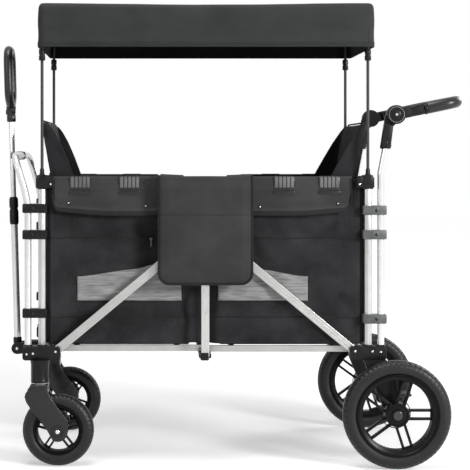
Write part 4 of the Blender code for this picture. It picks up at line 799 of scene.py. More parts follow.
def tub_walls():
    """Two long walls with seams, welts, net windows and a zip tab, and the walls at the ends."""
    for word, side in SIDES:
        tub_wall(word, side)
        net_window("front", -0.4042, -0.1267, word, side)
        net_window("rear", 0.2062, -0.0324, word, side)
        runs = [[on_wall(TUB_FRONT + 0.004 + i * 0.01, z, side, 0.0004) for i in range(81)]
                for z in (0.5937, 0.5897, 0.385, 0.381)]
        runs += [[on_wall(x, TUB_BOTTOM + 0.006 + i * 0.01, side, 0.0004) for i in range(42)]
                 for x in (-0.4214, -0.4176, 0.2838, 0.2800)]
        flatten(stitches(f"wall_stitching_{word}", [(run, (0, side, 0)) for run in runs], "rear_frame"))
        for number, z in enumerate((0.5917, 0.383)):
            line = [on_wall(TUB_FRONT + 0.002 + i * 0.0137, z, side, 0.0002) for i in range(60)]
            flatten(swept(f"wall_welt_{number}_{word}", line, 0.0017, BINDING_TAPE, "rear_frame", sides=2))
    bm = bmesh.new()
    x, y, z = on_wall(-0.2078, 0.580, -1, 0.0012)
    add_block(bm, (x - 0.0020, y - 0.0022, z - 0.0110), (x + 0.0020, y + 0.0004, z + 0.0090), 0.0006)
    add_block(bm, (x - 0.0034, y - 0.0028, z + 0.0060), (x + 0.0034, y + 0.0004, z + 0.0130), 0.0010)
    flatten(finish_piece("wall_zip_tab", bm, GREY_NYLON_AND_REFLECTION, "rear_frame"))
    for end, _, x, way, body in ENDS:
        end_wall(end, x, way, body)


def flap_section(t, low, x):
    """How far out and how high a flap's cloth lies: up inside the wall, over the rim and down to low outside."""
    if t < 0.12:
        return TUB_HALF_WIDTH - 0.0058, RIM_Z - 0.030 + 0.030 * t / 0.12
    if t < 0.28:
        angle = math.pi * (1 - (t - 0.12) / 0.16)
        return TUB_HALF_WIDTH - 0.0015 + 0.0043 * math.cos(angle), RIM_Z + 0.0045 * math.sin(angle)
    share = (t - 0.28) / 0.72
    z = RIM_Z - (RIM_Z - low) * share
    swell = 0.0035 * math.sin(math.pi * min(1.0, share * 1.15)) + 0.0035 * share ** 2
    swell += 0.0018 * share * wrinkle(x, 0.9, z, 0.05) + 0.0070 * smoothstep(0.75, 1.0, share)
    return TUB_HALF_WIDTH + 0.0028 + swell, z


def rim_flap(end, outer, inner, snaps, loops, word, side):
    """A flap that turns over the rim, bound along its edge, with its snaps and webbing loops."""
    def place(u, v):
        drop = 0.0965 - 0.010 * smoothstep(0.55, 0.0, u)
        corner = math.sqrt(max(0.0, 1 - (1 - min(1.0, u / 0.075)) ** 2))
        x = outer + (inner - outer) * u
        y, z = flap_section(v, RIM_Z - drop * (0.55 + 0.45 * corner), x)
        return (x, side * y, z)

    flip = math.copysign(side, (inner - outer) * side)
    made = cloth(f"rim_flap_{end}_{word}", 44, 80, place, flip * 0.0018, [FLAP_CLOTH, BINDING_TAPE],
                 "rear_frame", tape=lambda u, v: v > 0.9 or (u < 0.03 and v > 0.28))
    flatten(made)
    hem = [place(0.045, 0.36 + 0.04 * i) for i in range(13)]
    hem += [place(0.06 + 0.94 * i / 60, 0.885) for i in range(61)]
    hem = [(x, y + side * 0.0006, z) for x, y, z in hem]
    flatten(stitches(f"flap_stitching_{end}_{word}", [(hem, (0, side, 0))], "rear_frame"))
    bm = bmesh.new()
    for x, z in snaps:
        for out, radius, height, index in ((0.0078, 0.0052, 0.0018, 0), (0.0087, 0.0022, 0.0016, 1)):
            bolt_head(bm, outward((x, side * (TUB_HALF_WIDTH + out), z), side), radius, height, index)
    flatten(finish_piece(f"snap_studs_{end}_{word}", bm, [GLOSSY_NYLON, ZINC], "rear_frame"))
    bm = bmesh.new()
    for x in loops:
        webbing_loop(bm, x, side)
    flatten(finish_piece(f"webbing_loops_{end}_{word}", bm, [GLOSSY_NYLON, WEBBING, WEBBING_RIB_HIGHLIGHT], "rear_frame"))


def flaps():
    """Four flaps, two on each wall, each with the places of its snaps and the X of its webbing loops."""
    for word, side in SIDES:
        rim_flap("front", -0.4680, -0.1885, ((-0.4251, 0.6848), (-0.2222, 0.6770)), (-0.3944, -0.2648), word, side)
        rim_flap("rear", 0.3200, 0.0555, ((0.0775, 0.6743), (0.2830, 0.6835)), (0.1417, 0.2601), word, side)


def webbing_loop(bm, x, side):
    """A webbing loop over the rim, ribbed along its length with light ribs that are a painted highlight, with two
    polished bars across its end.
    """
    face = TUB_HALF_WIDTH + 0.0065
    lining = TUB_HALF_WIDTH - 0.0105
    # The ribs are drawn light grey: a painted highlight on the loop's curve over the rim
    for rib in range(5):
        low = x - 0.0255 + rib * 0.0104
        side_block(bm, side, (low, low + 0.0094), (face - 0.003, face + 0.0035), (RIM_Z - 0.0235, RIM_Z + 0.0062),
                   0.0030, 2)
    # Each block: half its width, its spans outwards and above the rim, its rounding and its finish
    for half, outwards, rise, rounding, index in (
            (0.0275, (face - 0.003, face + 0.0020), (-0.0300, 0.0052), 0.0012, 0),
            (0.0265, (lining, face + 0.002), (0.0030, 0.0072), 0.0018, 1),
            (0.0265, (lining, lining + 0.0023), (-0.045, 0.0065), 0.0008, 1),
            (0.0280, (face - 0.002, face + 0.0030), (-0.0288, -0.0248), 0.0014, 0),
            (0.0280, (face - 0.002, face + 0.0052), (-0.03945, -0.03095), 0.0014, 0)):
        side_block(bm, side, (x - half, x + half), outwards, [RIM_Z + height for height in rise], rounding, index)


def organiser():
    """The hanging pocket: a slack pouch with a tape-bound edge, and two straps that turn over the rim."""
    low, high, bottom, top = -0.1895, 0.0565, 0.473, 0.759
    inner, side = 0.2412, -1

    def outline(u, v):
        """A point of the pouch's face: its corners are round below and its upper edge dips."""
        x = low + (high - low) * u
        z = bottom + (top - bottom) * v
        corner = 0.030
        for cx, way in ((low + corner, -1), (high - corner, 1)):
            if (x - cx) * way > 0 and z < bottom + corner:
                dx, dz = x - cx, z - bottom - corner
                reach = max(abs(dx), abs(dz))
                length = math.hypot(dx, dz)
                if length > 1e-9:
                    x, z = cx + dx * reach / length, bottom + corner + dz * reach / length
        z -= 0.0045 * math.sin(math.pi * u) * smoothstep(0.55, 1.0, v)
        return x, z

    def face(u, v):
        x, z = outline(u, v)
        edge = min(1.0, 9 * min(u, 1 - u)) * min(1.0, 9 * min(v, 1 - v))
        puff = 0.0062 * math.sqrt(max(0.0, edge)) * (0.75 + 0.25 * math.sin(math.pi * v))
        puff += 0.0010 * edge * wrinkle(x, 0.5, z, 0.06)
        puff += 0.0030 * edge * smoothstep(0.0, 0.6, v) - 0.0016 * math.exp(-((z - 0.653) / 0.0022) ** 2)
        return (x, side * (inner + 0.0058 + puff), z)

    def band(u, v):
        return min(u * (high - low), (1 - u) * (high - low), v * (top - bottom)) < 0.0060

    made = cloth("pocket_face", 96, 84, face, 0.0, [POCKET_CLOTH, BINDING_TAPE], "rear_frame", tape=band)
    bm = bmesh.new()
    bm.from_mesh(made.data)
    rims = [edge for edge in bm.edges if edge.is_boundary]
    pushed = [item for item in bmesh.ops.extrude_edge_only(bm, edges=rims)["geom"]
              if isinstance(item, bmesh.types.BMVert)]
    for vert in pushed:
        vert.co.y = side * inner
    back = bmesh.ops.edgeloop_fill(bm, edges=[edge for edge in bm.edges if edge.is_boundary])["faces"]
    paint(back, 0)
    bmesh.ops.recalc_face_normals(bm, faces=bm.faces)
    for face_made in bm.faces:
        face_made.smooth = True
    bm.to_mesh(made.data)
    bm.free()
    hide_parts("side_pocket")
    flatten(made)
    line = [face(0.043, 0.98 - 0.93 * i / 70) for i in range(71)]
    line += [face(0.043 + 0.914 * i / 60, 0.037) for i in range(61)]
    line += [face(0.957, 0.05 + 0.93 * i / 70) for i in range(71)]
    runs = [line, [face(0.04 + 0.92 * i / 60, 0.6365) for i in range(61)],
            [face(0.04 + 0.92 * i / 60, 0.972) for i in range(61)]]
    runs = [([(x, y + side * 0.0003, z) for x, y, z in run], (0, side, 0)) for run in runs]
    flatten(stitches("pocket_stitching", runs, "rear_frame"))
    tape = [(x, y - 0.0002, z) for x, y, z in
            [face(0.004, 0.995 - 0.99 * i / 60) for i in range(61)]
            + [face(0.004 + 0.992 * i / 60, 0.004) for i in range(61)]
            + [face(0.996, 0.005 + 0.99 * i / 60) for i in range(61)]]
    flatten(swept("pocket_binding", tape, 0.0024, BINDING_TAPE, "rear_frame", sides=3))

    def strap(u, v, x0, x1):
        """A strap that turns over the rim; the space between the two is for the bars as the wagon folds."""
        x = x0 + (x1 - x0) * u
        dip = 0.0045 * math.sin(math.pi * (x - low) / (high - low))
        path = [(0.2440, 0.748), (0.2440, 0.7575), (0.2390, 0.7605), (0.2260, 0.7590), (0.2130, 0.7565),
                (0.2020, 0.7555), (0.1975, 0.7520), (0.1968, 0.7300), (0.1968, 0.6900)]
        at = v * (len(path) - 1)
        index = min(int(at), len(path) - 2)
        first, second = path[index], path[index + 1]
        part = at - index
        y = first[0] + (second[0] - first[0]) * part
        z = first[1] + (second[1] - first[1]) * part
        return (x, side * y, z - dip * (1 - smoothstep(0.2, 0.6, v)))

    for end, x0, x1 in (("front", low + 0.006, low + 0.066), ("rear", high - 0.066, high - 0.006)):
        made = cloth(f"pocket_strap_{end}", 24, 16, lambda u, v, x0=x0, x1=x1: strap(u, v, x0, x1), 0.0016,
                     [POCKET_CLOTH], "rear_frame")
        flatten(made)


def sunshade():
    """One sheet that lies over the two bows and hangs down all round, with a bound hem and stitched corners."""
    middle = (CANOPY_FRONT + CANOPY_REAR) / 2
    half_x, half_y = (CANOPY_REAR - CANOPY_FRONT) / 2, CANOPY_HALF_WIDTH
    around = 320

    def ring_point(share, inset, corner):
        """A point of a round-cornered rectangle, by its share of the way round."""
        wide, deep = half_x - inset, half_y - inset
        corner = max(0.001, min(corner, deep, wide))
        straight_x, straight_y = 2 * (wide - corner), 2 * (deep - corner)
        quarter = math.pi * corner / 2
        at = share * (2 * straight_x + 2 * straight_y + 4 * quarter)
        turns = ((straight_x, (-wide + corner, -deep), (1, 0)), (quarter, (wide - corner, -deep + corner), -90),
                 (straight_y, (wide, -deep + corner), (0, 1)), (quarter, (wide - corner, deep - corner), 0),
                 (straight_x, (wide - corner, deep), (-1, 0)), (quarter, (-wide + corner, deep - corner), 90),
                 (straight_y, (-wide, deep - corner), (0, -1)), (quarter, (-wide + corner, -deep + corner), 180))
        for length, start, way in turns:
            if at <= length:
                break
            at -= length
        if isinstance(way, tuple):
            return start[0] + way[0] * at, start[1] + way[1] * at
        angle = math.radians(way) + at / corner
        return start[0] + corner * math.cos(angle), start[1] + corner * math.sin(angle)

    def height(x, y, level):
        """Slack between the bows and from side to side, with faint wrinkles."""
        along = (x - CANOPY_FRONT) / (CANOPY_REAR - CANOPY_FRONT)
        sag = 0.0042 * math.sin(math.pi * along) ** 2 + 0.0016 * math.sin(math.pi * (y / half_y / 2 + 0.5))
        return level - sag - 0.0008 * (1 + wrinkle(x, y, 0.4, 0.12))

    rings = [(0.0005, 0.0), (0.0002, 0.004), (0.0006, 0.010), (0.0010, 0.014)]
    rings += [(0.0012 + 0.0006 * math.sin(i), 0.014 + 0.0115 * i) for i in range(1, 8)]
    rings += [(0.0022, 0.103), (0.0034, 0.108), (0.0058, 0.1125), (0.0090, 0.1155), (0.0135, 0.1168)]
    flat = [(0.0135 + 0.0213 * i, 0.117) for i in range(1, 10)] + [(0.2145, 0.117)]
    levels = len(rings) + len(flat)

    def place(u, v):
        index = round(v * (levels - 1))
        inset, rise = (rings + flat)[index]
        x, y = ring_point(u, inset, 0.016 - min(0.012, inset))
        if index < len(rings):
            wave = 0.0013 * (1 + wrinkle(x * 0.8, y * 0.8, rise, 0.16)) * (1 - smoothstep(0.08, 0.115, rise))
            length = math.hypot(x / half_x, y / half_y)
            hold = 1 - smoothstep(0.90, 1.35, length)
            x -= math.copysign(wave * hold, x) * (abs(y) < half_y - 0.02)
            y -= math.copysign(wave * hold, y) * (abs(x - middle) < half_x - 0.02)
        share = smoothstep(0.09, 0.117, rise)
        level = HEM_Z + rise
        return (middle + x, y, level + (height(middle + x, y, level) - level) * share)

    made = cloth("canopy_roof_cloth", levels - 1, around, place, 0.0, [CANOPY_CLOTH, CANOPY_HEM], "rear_frame",
                 close=True, tape=lambda u, v: v < 2.2 / levels)
    bm = bmesh.new()
    bm.from_mesh(made.data)
    opening = [edge for edge in bm.edges if edge.is_boundary and edge.verts[0].co.z > HEM_Z + 0.05]
    bmesh.ops.edgeloop_fill(bm, edges=opening)
    bmesh.ops.recalc_face_normals(bm, faces=bm.faces)
    for face in bm.faces:
        face.smooth = True
    bm.to_mesh(made.data)
    bm.free()
    made.data.materials.append(LINING_CLOTH)
    shell = made.modifiers.new("cloth_thickness", "SOLIDIFY")
    shell.thickness = 0.0016
    shell.offset = -1
    shell.material_offset = 2
    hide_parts("canopy_roof")
    flatten(made)
    lines = []
    for rise in (0.0085, 0.0125):
        ring = []
        for i in range(around + 1):
            x, y = ring_point(i / around, -0.0002, 0.016)
            ring.append((middle + x, y, HEM_Z + rise))
        for a, b in zip(ring, ring[1:]):
            out = Vector((b[1] - a[1], a[0] - b[0], 0))
            lines.append(([a, b], out if out.length else (0, -1, 0)))
    seams = []
    for x in (CANOPY_FRONT + 0.017, CANOPY_REAR - 0.017):
        for side in (-1, 1):
            seams.append(([(x, side * (half_y + 0.0001), HEM_Z + 0.016), (x, side * (half_y - 0.0012), 1.192)],
                          (0, side, 0)))
    flatten(stitches("canopy_stitching", lines + seams, "rear_frame"))


def canopy_bows():
    """Two painted steel bows that plug into the posts, with a moulded collar and ferrule on each leg."""
    foot, top = POST_TOP - 0.0245, CANOPY_TOP - 0.0073
    collar = [(0.0042, 0.0), (0.0072, 0.0), (0.0085, 0.002), (0.0085, 0.012), (0.0074, 0.0135), (0.0074, 0.0165),
              (0.0085, 0.018), (0.0085, 0.028), (0.0070, 0.031), (0.0042, 0.031)]
    ferrule = [(0.0042, 0.0), (0.0066, 0.0), (0.0066, 0.003), (0.0060, 0.004), (0.0058, 0.013), (0.0050, 0.0165),
               (0.0042, 0.0165)]
    for end, x, _, _, body in ENDS:
        route = [(x, -POST_Y, foot), (x, -POST_Y, top), (x, POST_Y, top), (x, POST_Y, foot)]
        shown_as(swept(f"canopy_bow_{end}", route, 0.004, ROD_PAINT, body, corner=0.025),
                 f"{end}_canopy_bow")
        bm = bmesh.new()
        for y in (-POST_Y, POST_Y):
            add_turned(bm, collar, Matrix.Translation((x, y, 1.059)), 32)
            add_turned(bm, ferrule, Matrix.Translation((x, y, POST_TOP + 0.0018)), 32)
        finish_piece(f"pole_collars_{end}", bm, NYLON, body)


def inflate(made, node, cap):
    """Fills a pad with air inside a cap on how far its cloth may move, then smooths it."""
    rest_mesh = made.data
    remesh = made.modifiers.new("even_cloth", "REMESH")
    remesh.mode = "VOXEL"
    remesh.voxel_size = 0.005
    graph = bpy.context.evaluated_depsgraph_get()
    made.data = bpy.data.meshes.new_from_object(made.evaluated_get(graph))
    made.modifiers.clear()
    bpy.data.meshes.remove(rest_mesh)
    start = [vert.co.copy() for vert in made.data.vertices]
    scene = bpy.context.scene
    scene.frame_set(1)
    air = made.modifiers.new("air", "CLOTH")
    air.settings.use_pressure = True
    air.settings.uniform_pressure_force = 4
    air.settings.quality = 4
    air.settings.mass = 0.3
    air.settings.tension_stiffness = 15
    air.settings.effector_weights.gravity = 0
    air.point_cache.frame_start = 1
    air.point_cache.frame_end = 20
    for step in range(1, 21):
        scene.frame_set(step)
    graph = bpy.context.evaluated_depsgraph_get()
    blown = bpy.data.meshes.new_from_object(made.evaluated_get(graph))
    made.modifiers.clear()
    for vert, moved, before in zip(made.data.vertices, blown.vertices, start):
        shift = moved.co - before
        if shift.length > cap:
            shift *= cap / shift.length
        vert.co = before + shift
    bpy.data.meshes.remove(blown)
    scene.frame_set(1)
    for face in made.data.polygons:
        face.use_smooth = True
    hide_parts(node)
    return made


def seat_pads():
    """Two seat pads, blown up by simulation, then drawn in along two sewn channels and round their piping."""
    for end, x0, x1, body in (("front", -0.3975, -0.1175, "front_floor"), ("rear", -0.0155, 0.2645, "rear_floor")):
        bm = bmesh.new()
        add_block(bm, (x0 + 0.004, -0.164, 0.3165), (x1 - 0.004, 0.164, 0.3255), 0.0035)
        made = inflate(finish_piece(f"seat_pad_{end}", bm, SEAT_CLOTH, body), f"{end}_seat", 0.007)
        for vert in made.data.vertices:
            u = (vert.co.x - x0) / (x1 - x0)
            channel = max(math.exp(-((u - c) * (x1 - x0) / 0.0055) ** 2) for c in (1 / 3, 2 / 3))
            if vert.co.z > 0.3205:
                vert.co.z -= channel * (vert.co.z - 0.3205) * 0.62
                vert.co.z += 0.0006 * wrinkle(vert.co.x, vert.co.y, 0.2, 0.04) * (1 - channel)
            vert.co.z = max(vert.co.z, 0.3153)
        bevelled = made.modifiers.new("smooth_cloth", "SUBSURF")
        bevelled.levels = bevelled.render_levels = 1
        edge = [(x0 + 0.002, -0.166, 0.3215), (x1 - 0.002, -0.166, 0.3215), (x1 - 0.002, 0.166, 0.3215),
                (x0 + 0.002, 0.166, 0.3215)]
        swept(f"seat_piping_{end}", edge, 0.0019, BINDING_TAPE, body, corner=0.010, loop=True, sides=3)


def back_line(z, start, way):
    """X of the back of a seat back: upright below the rim, leaning outwards above it."""
    return start - way * 0.030 * max(0.0, z - RIM_Z - 0.001) / (SEAT_BACK_TOP - RIM_Z)


def lowered(made, end):
    """Settles the cloth above the rim a little, as worn padding does."""
    for vert in made.data.vertices:
        vert.co.z -= max(0.0, vert.co.z - RIM_Z) * (0.03 if end == "front" else 0.06)
    return made


def seat_wing(end, start, way, body, word, side):
    """A triangle of cloth from the upper corner of a seat back down to the rim and in below it."""
    def wing(u, v):
        z = 0.690 + 0.212 * v
        rim_share = smoothstep(0.690, 0.752, z)
        drop = min(1.0, max(0.0, (0.902 - z) / 0.154))
        reach = (0.052 if way > 0 else 0.066) * drop ** (0.5 if way > 0 else 0.8) + 0.006 * rim_share
        fold = 0.0045 * math.sin(math.pi * u) * math.sin(2.2 * math.pi * v + 0.6)
        inward = 0.1875 - 0.010 * u * (1 - v) + fold + 0.0012 * wrinkle(u * 0.1, 0.3, z, 0.03)
        # Its first edge is sewn to the piping
        inward -= (inward - 0.1838) * (1 - smoothstep(0.0, 0.3, u))
        return (back_line(z, start, way) + way * (0.002 + max(0.004, reach) * u), side * inward, z)

    made = cloth(f"seat_wing_{end}_{word}", 30, 18, wing, 0.0024 * side * way, [SEAT_CLOTH, BINDING_TAPE], body,
                 tape=lambda u, v: u > 0.93)
    lowered(made, end)


def seat_backs():
    """Padded backs that lean out over the end walls, each with two wings and piping round its edges."""
    for end, _, x, way, body in ENDS:
        start = x + way * 0.0042
        bm = bmesh.new()
        add_block(bm, (start, -0.181, 0.566), (start + way * 0.012, 0.181, 0.908), 0.005)
        long_edges = [edge for edge in bm.edges if edge.calc_length() > 0.05]
        bmesh.ops.subdivide_edges(bm, edges=long_edges, cuts=11, use_grid_fill=True)
        for vert in bm.verts:
            taper = max(0.0, (vert.co.z - 0.855) / 0.055) ** 2
            vert.co.y *= 1 - 0.07 * taper
            vert.co.x += back_line(vert.co.z, 0.0, way)
        made = inflate(finish_piece(f"seat_back_{end}", bm, SEAT_CLOTH, body), f"{end}_seat_back", 0.0055)
        # Seams draw the padding in, and its rear face lies flat against the wall below the rim
        for vert in made.data.vertices:
            spine = back_line(vert.co.z, start, way)
            depth = (vert.co.x - spine) * way
            draw = max(math.exp(-((vert.co.z - z) / 0.0055) ** 2) for z in (0.680, 0.790))
            draw = max(draw, math.exp(-((abs(vert.co.y) - 0.150) / 0.005) ** 2) * 0.8)
            if depth > 0.006:
                vert.co.x -= way * draw * (depth - 0.006) * 0.55
            elif depth < -0.0035 or vert.co.z < RIM_Z + 0.004 and depth < 0.0:
                vert.co.x = spine + way * max(depth, 0.0 if vert.co.z < RIM_Z + 0.004 else -0.0035)
        smooth = lowered(made, end).modifiers.new("smooth_cloth", "SUBSURF")
        smooth.levels = smooth.render_levels = 1
        for word, side in SIDES:
            seat_wing(end, start, way, body, word, side)
        # Piping up both edges of the back and over its top
        near = [(-0.1845, 0.566), (-0.1845, RIM_Z + 0.001), (-0.1835, 0.860), (-0.166, 0.9065)]
        route = [(back_line(z, start + way * 0.002, way), y, z)
                 for y, z in near + [(-y, z) for y, z in reversed(near)]]
        lowered(swept(f"back_piping_{end}", route, 0.0024, BINDING_TAPE, body, corner=0.020, sides=3), end)


def top_brackets():
    """Caps on the posts with a tongue along the rim of the tub, a rivet and a collar for the canopy's pole."""
    # Each block: its spans from the post towards the tub's middle, outwards and in Z, and its rounding
    blocks = (((-0.0131, 0.0158), (0.1989, 0.2252), (0.7215, 0.7585), 0.0030),
              ((0.0, 0.0318), (0.2070, 0.2246), (0.7250, 0.7562), 0.0026),
              ((0.0165, 0.0300), (0.2240, 0.2252), (0.7275, 0.7540), 0.0006),
              ((-0.0125, -0.0160), (0.2040, 0.2210), (0.7250, 0.7520), 0.0012))
    collar = [(0.0048, 0.0), (0.0078, 0.0), (0.0078, 0.0016), (0.0068, 0.0024), (0.0048, 0.0024)]
    for word, side in SIDES:
        for end, x, _, way, body in ENDS:
            bm = bmesh.new()
            for run, outwards, rise, rounding in blocks:
                side_block(bm, side, [x + way * reach for reach in run], outwards, rise, rounding)
            rivet(bm, x + way * 0.0235, 0.2252, 0.7345, side, 0.0030)
            add_turned(bm, collar, Matrix.Translation((x, side * POST_Y, 0.7583)), 32)
            shown_as(finish_piece(f"rim_corner_{end}_{word}", bm, [NYLON, ZINC], body),
                     f"{end}_top_bracket_{word}")


def clevis(bm, low_x, high_x, pivot_x, outer, slot, side):
    """Two cheeks with rounded corners round a slot for a bar, filled behind it."""
    corner = 0.008
    left, right = low_x + corner, high_x - corner
    bottom, top = BRACKET_BOTTOM + corner, BRACKET_TOP - corner
    outline = [point for x, z, start in ((right, top, 0), (left, top, 90), (left, bottom, 180), (right, bottom, 270))
               for point in arc((x, z), corner, start, start + 90, 6)]
    for first, last in ((BRACKET_INNER_Y, slot - 0.0056), (slot + 0.0056, outer)):
        add_plate(bm, outline, side * first, side * last, 0.0014)
    way = math.copysign(1, (low_x + high_x) / 2 - pivot_x)
    end = high_x if way > 0 else low_x
    side_block(bm, side, (pivot_x + way * 0.0128, end - way * 0.0015), (slot - 0.0060, slot + 0.0060),
               (BRACKET_BOTTOM + 0.0012, BRACKET_TOP - 0.0012), 0.0008)


def socket_rims(bm, side, post_x, leg_x):
    """A raised rim round the post and the leg that stand in a lower bracket."""
    for x, radius in ((post_x, POST_RADIUS), (leg_x, LEG_RADIUS)):
        profile = [(radius, 0.0), (radius + 0.0030, 0.0), (radius + 0.0030, 0.0022), (radius + 0.0018, 0.0036),
                   (radius, 0.0036)]
        add_turned(bm, profile, Matrix.Translation((x, side * POST_Y, BRACKET_TOP - 0.0004)), 36)


def swivel_corner(word, side):
    """A lower corner in front: cheeks round the bar, a riveted cover, and the housing of the caster's swivel."""
    bm = bmesh.new()
    clevis(bm, -0.5445, -0.4455, FRONT_PIVOT_X, 0.234, 0.2225, side)
    side_block(bm, side, (-0.5405, -0.5020), (0.2336, 0.2348), (0.2780, 0.3060), 0.0006)
    for x, out, z, radius in ((-0.5332, 0.2346, 0.2905, 0.0034), (-0.5165, 0.2346, 0.2920, 0.0034),
                              (FRONT_PIVOT_X, 0.2340, PIVOT_Z, 0.0036)):
        rivet(bm, x, out, z, side, radius)
    socket_rims(bm, side, FRONT_POST_X, BOW_LEG_X)
    housing = [(0.0, 0.2760), (0.0262, 0.2760), (0.0246, 0.2690), (0.0234, 0.2600), (0.0228, 0.2360),
               (0.0234, 0.2230), (0.0240, 0.2215), (0.0240, 0.2180), (0.0228, 0.2165), (0.0, 0.2165)]
    place = Matrix.Translation((SWIVEL_X, side * CASTER_Y, 0))
    add_turned(bm, housing, place, 56, closed=False)
    add_turned(bm, [(0.0205, 0.2150), (0.0222, 0.2150), (0.0222, 0.2170), (0.0205, 0.2170)], place, 56, index=1)
    for turn in range(8):
        rib = add_block(bm, (0.0220, -0.0011, 0.2240), (0.0238, 0.0011, 0.2690), 0.0)
        bmesh.ops.transform(bm, verts=rib, matrix=place @ Matrix.Rotation(math.tau * turn / 8, 4, "Z"))
        soften(bm, rib, 0.0005)
    shown_as(finish_piece(f"swivel_corner_{word}", bm, [NYLON, ZINC], "front_frame"),
             f"front_bracket_{word}")


def axle_corner(word, side):
    """A lower corner at the rear: cheeks round the bar, and a ribbed arm down to the axle."""
    bm = bmesh.new()
    clevis(bm, 0.3125, 0.4085, REAR_PIVOT_X, 0.225, 0.212, side)
    for x, z in ((0.3265, 0.2970), (0.3715, 0.2960), (0.3935, 0.2950)):
        rivet(bm, x, 0.2250, z, side, 0.0034)
    socket_rims(bm, side, REAR_POST_X, PUSH_LEG_X)
    arm = [(0.3455, 0.2820), *arc((REAR_AXLE_X, REAR_RADIUS), 0.0215, 200, 360, 14), (0.4345, 0.2290),
           (0.4040, 0.2820)]
    face = side * 0.2222
    add_plate(bm, arm, side * 0.2080, face, 0.0020)
    # Stiffening ribs on the outer face of the arm, and the collar that carries the axle
    for x0, z0, x1, z1 in ((0.3530, 0.2760, 0.4100, 0.1560), (0.3990, 0.2760, 0.4290, 0.2230),
                           (0.4290, 0.2230, 0.4450, 0.1480)):
        add_rod(bm, (x0, face, z0), (x1, face, z1), 0.0016, 12)
    for radius, reach in ((0.0190, 0.2245), (0.0130, 0.2290)):
        collar = [(0.0, reach), (radius - 0.0012, reach), (radius, reach - 0.0012), (radius, 0.204), (0.0, 0.204)]
        add_turned(bm, collar, outward((REAR_AXLE_X, 0, REAR_RADIUS), side), 40, closed=False)
    shown_as(finish_piece(f"axle_corner_{word}", bm, [NYLON, ZINC], "rear_frame"),
             f"rear_bracket_{word}")


def bottom_brackets():
    """The four lower corners."""
    for word, side in SIDES:
        swivel_corner(word, side)
        axle_corner(word, side)


def front_arch():
    """The bow in front and the grey rest on it, with a lip on each side of the handle's rod."""
    top_x, top_z = -0.5675, 0.809
    top = (top_x, -POST_Y, top_z)
    leg = rounded([(BOW_LEG_X, -POST_Y, LEG_FOOT), (BOW_LEG_X, -POST_Y, 0.690), top], 0.30)
    line = leg[:-1] + rounded([leg[-2], top, (top_x, 0, top_z)], 0.045)[1:]
    line += [Vector((x, -y, z)) for x, y, z in reversed(line[:-1])]
    shown_as(swept("bow_tube", line, LEG_RADIUS, BRIGHT_ALUMINIUM, "front_frame"), "front_bow")
    bm = bmesh.new()
    add_block(bm, (-0.5858, -0.0180, 0.7975), (-0.5585, 0.0180, 0.8205), 0.0060)
    for _, side in SIDES:
        side_block(bm, side, (-0.5985, -0.5800), (0.0095, 0.0150), (0.8000, 0.8180), 0.0024)
    finish_piece("handle_rest", bm, GREY_REST_AND_HIGHLIGHT, "front_frame")


def bar(bm, start, end, middle, half):
    """A flat extruded bar 10 mm thick with round ends: a core, and three raised bands along each face."""
    run = Vector((end[0] - start[0], end[1] - start[1]))
    heading = math.degrees(math.atan2(run.y, run.x))
    normal = Vector((-run.y, run.x)).normalized()

    def outline(width, shift):
        first, last = [(x + normal.x * shift, z + normal.y * shift) for x, z in (start, end)]
        return (arc(last, width, heading - 90, heading + 90, 9)
                + arc(first, width, heading + 90, heading + 270, 9))

    add_plate(bm, outline(half, 0), middle - 0.0044, middle + 0.0044, 0.0010)
    for shift in (-0.66, 0, 0.66):
        add_plate(bm, outline(half * 0.27, half * shift), middle - 0.0049, middle + 0.0049, 0.0004)


def linkage():
    """The crossing bars of the sides, and the upright bars between them with their feet and hub rivets."""
    hub_rivet = [(0.0, 0.0024), (0.0030, 0.0024), (0.0058, 0.0012), (0.0062, 0.0), (0.0, 0.0)]
    x = HUB[0]
    for word, side in SIDES:
        for end, pivot_x, y in (("rear", REAR_PIVOT_X, 0.212), ("front", FRONT_PIVOT_X, 0.2225)):
            bm = bmesh.new()
            bar(bm, (pivot_x, PIVOT_Z), HUB, side * y, 0.011)
            shown_as(finish_piece(f"side_bar_{end}_{word}", bm, LEVEL_ALUMINIUM, f"{end}_diagonals"),
                     f"{end}_diagonal_{word}")
        bm = bmesh.new()
        bar(bm, (x, 0.2870), (x, 0.6265), side * 0.233, 0.0105)
        shown_as(finish_piece(f"middle_bar_{word}", bm, UPRIGHT_ALUMINIUM, "centre_bars"),
                 f"centre_bar_{word}")
        bm = bmesh.new()
        side_block(bm, side, (x - 0.0125, x + 0.0095), (0.2270, 0.2392), (0.2745, 0.2955), 0.0030)
        rivet(bm, x - 0.0040, 0.2380, 0.3040, side, 0.0032)
        finish_piece(f"middle_foot_{word}", bm, [NYLON, ZINC], "centre_bars")
        bm = bmesh.new()
        add_turned(bm, hub_rivet, outward((x, side * 0.2382, HUB[1]), side), 32, closed=False)
        finish_piece(f"hub_rivet_{word}", bm, ZINC, "rear_diagonals")


def floor_frames():
    """The two halves of the folding floor: side rails and cross tubes."""
    for end, pivot_x, way, rail_y in (("rear", REAR_PIVOT_X, -1, 0.1925), ("front", FRONT_PIVOT_X, 1, 0.182)):
        bm = bmesh.new()
        for _, side in SIDES:
            bar(bm, (pivot_x, FLOOR_Z), (pivot_x + way * 0.391, FLOOR_Z), side * rail_y, 0.00825)
        for reach in (0.050, 0.318):
            x = pivot_x + way * reach
            add_rod(bm, (x, -rail_y, FLOOR_Z), (x, rail_y, FLOOR_Z), 0.0078, 28)
        shown_as(finish_piece(f"floor_rails_{end}", bm, LEVEL_ALUMINIUM, f"{end}_floor"),
                 f"{end}_floor_frame")


def hinge_disc(bm, inner, side):
    """Half of a hinge: a thick disc with a rounded rim."""
    add_turned(bm, [(0.0, 0.0), (0.0238, 0.0), (0.0250, 0.0012), (0.0250, 0.0086), (0.0230, 0.0110), (0.0, 0.0110)],
               outward((HINGE.x, side * inner, HINGE.z), side), 56, closed=False)


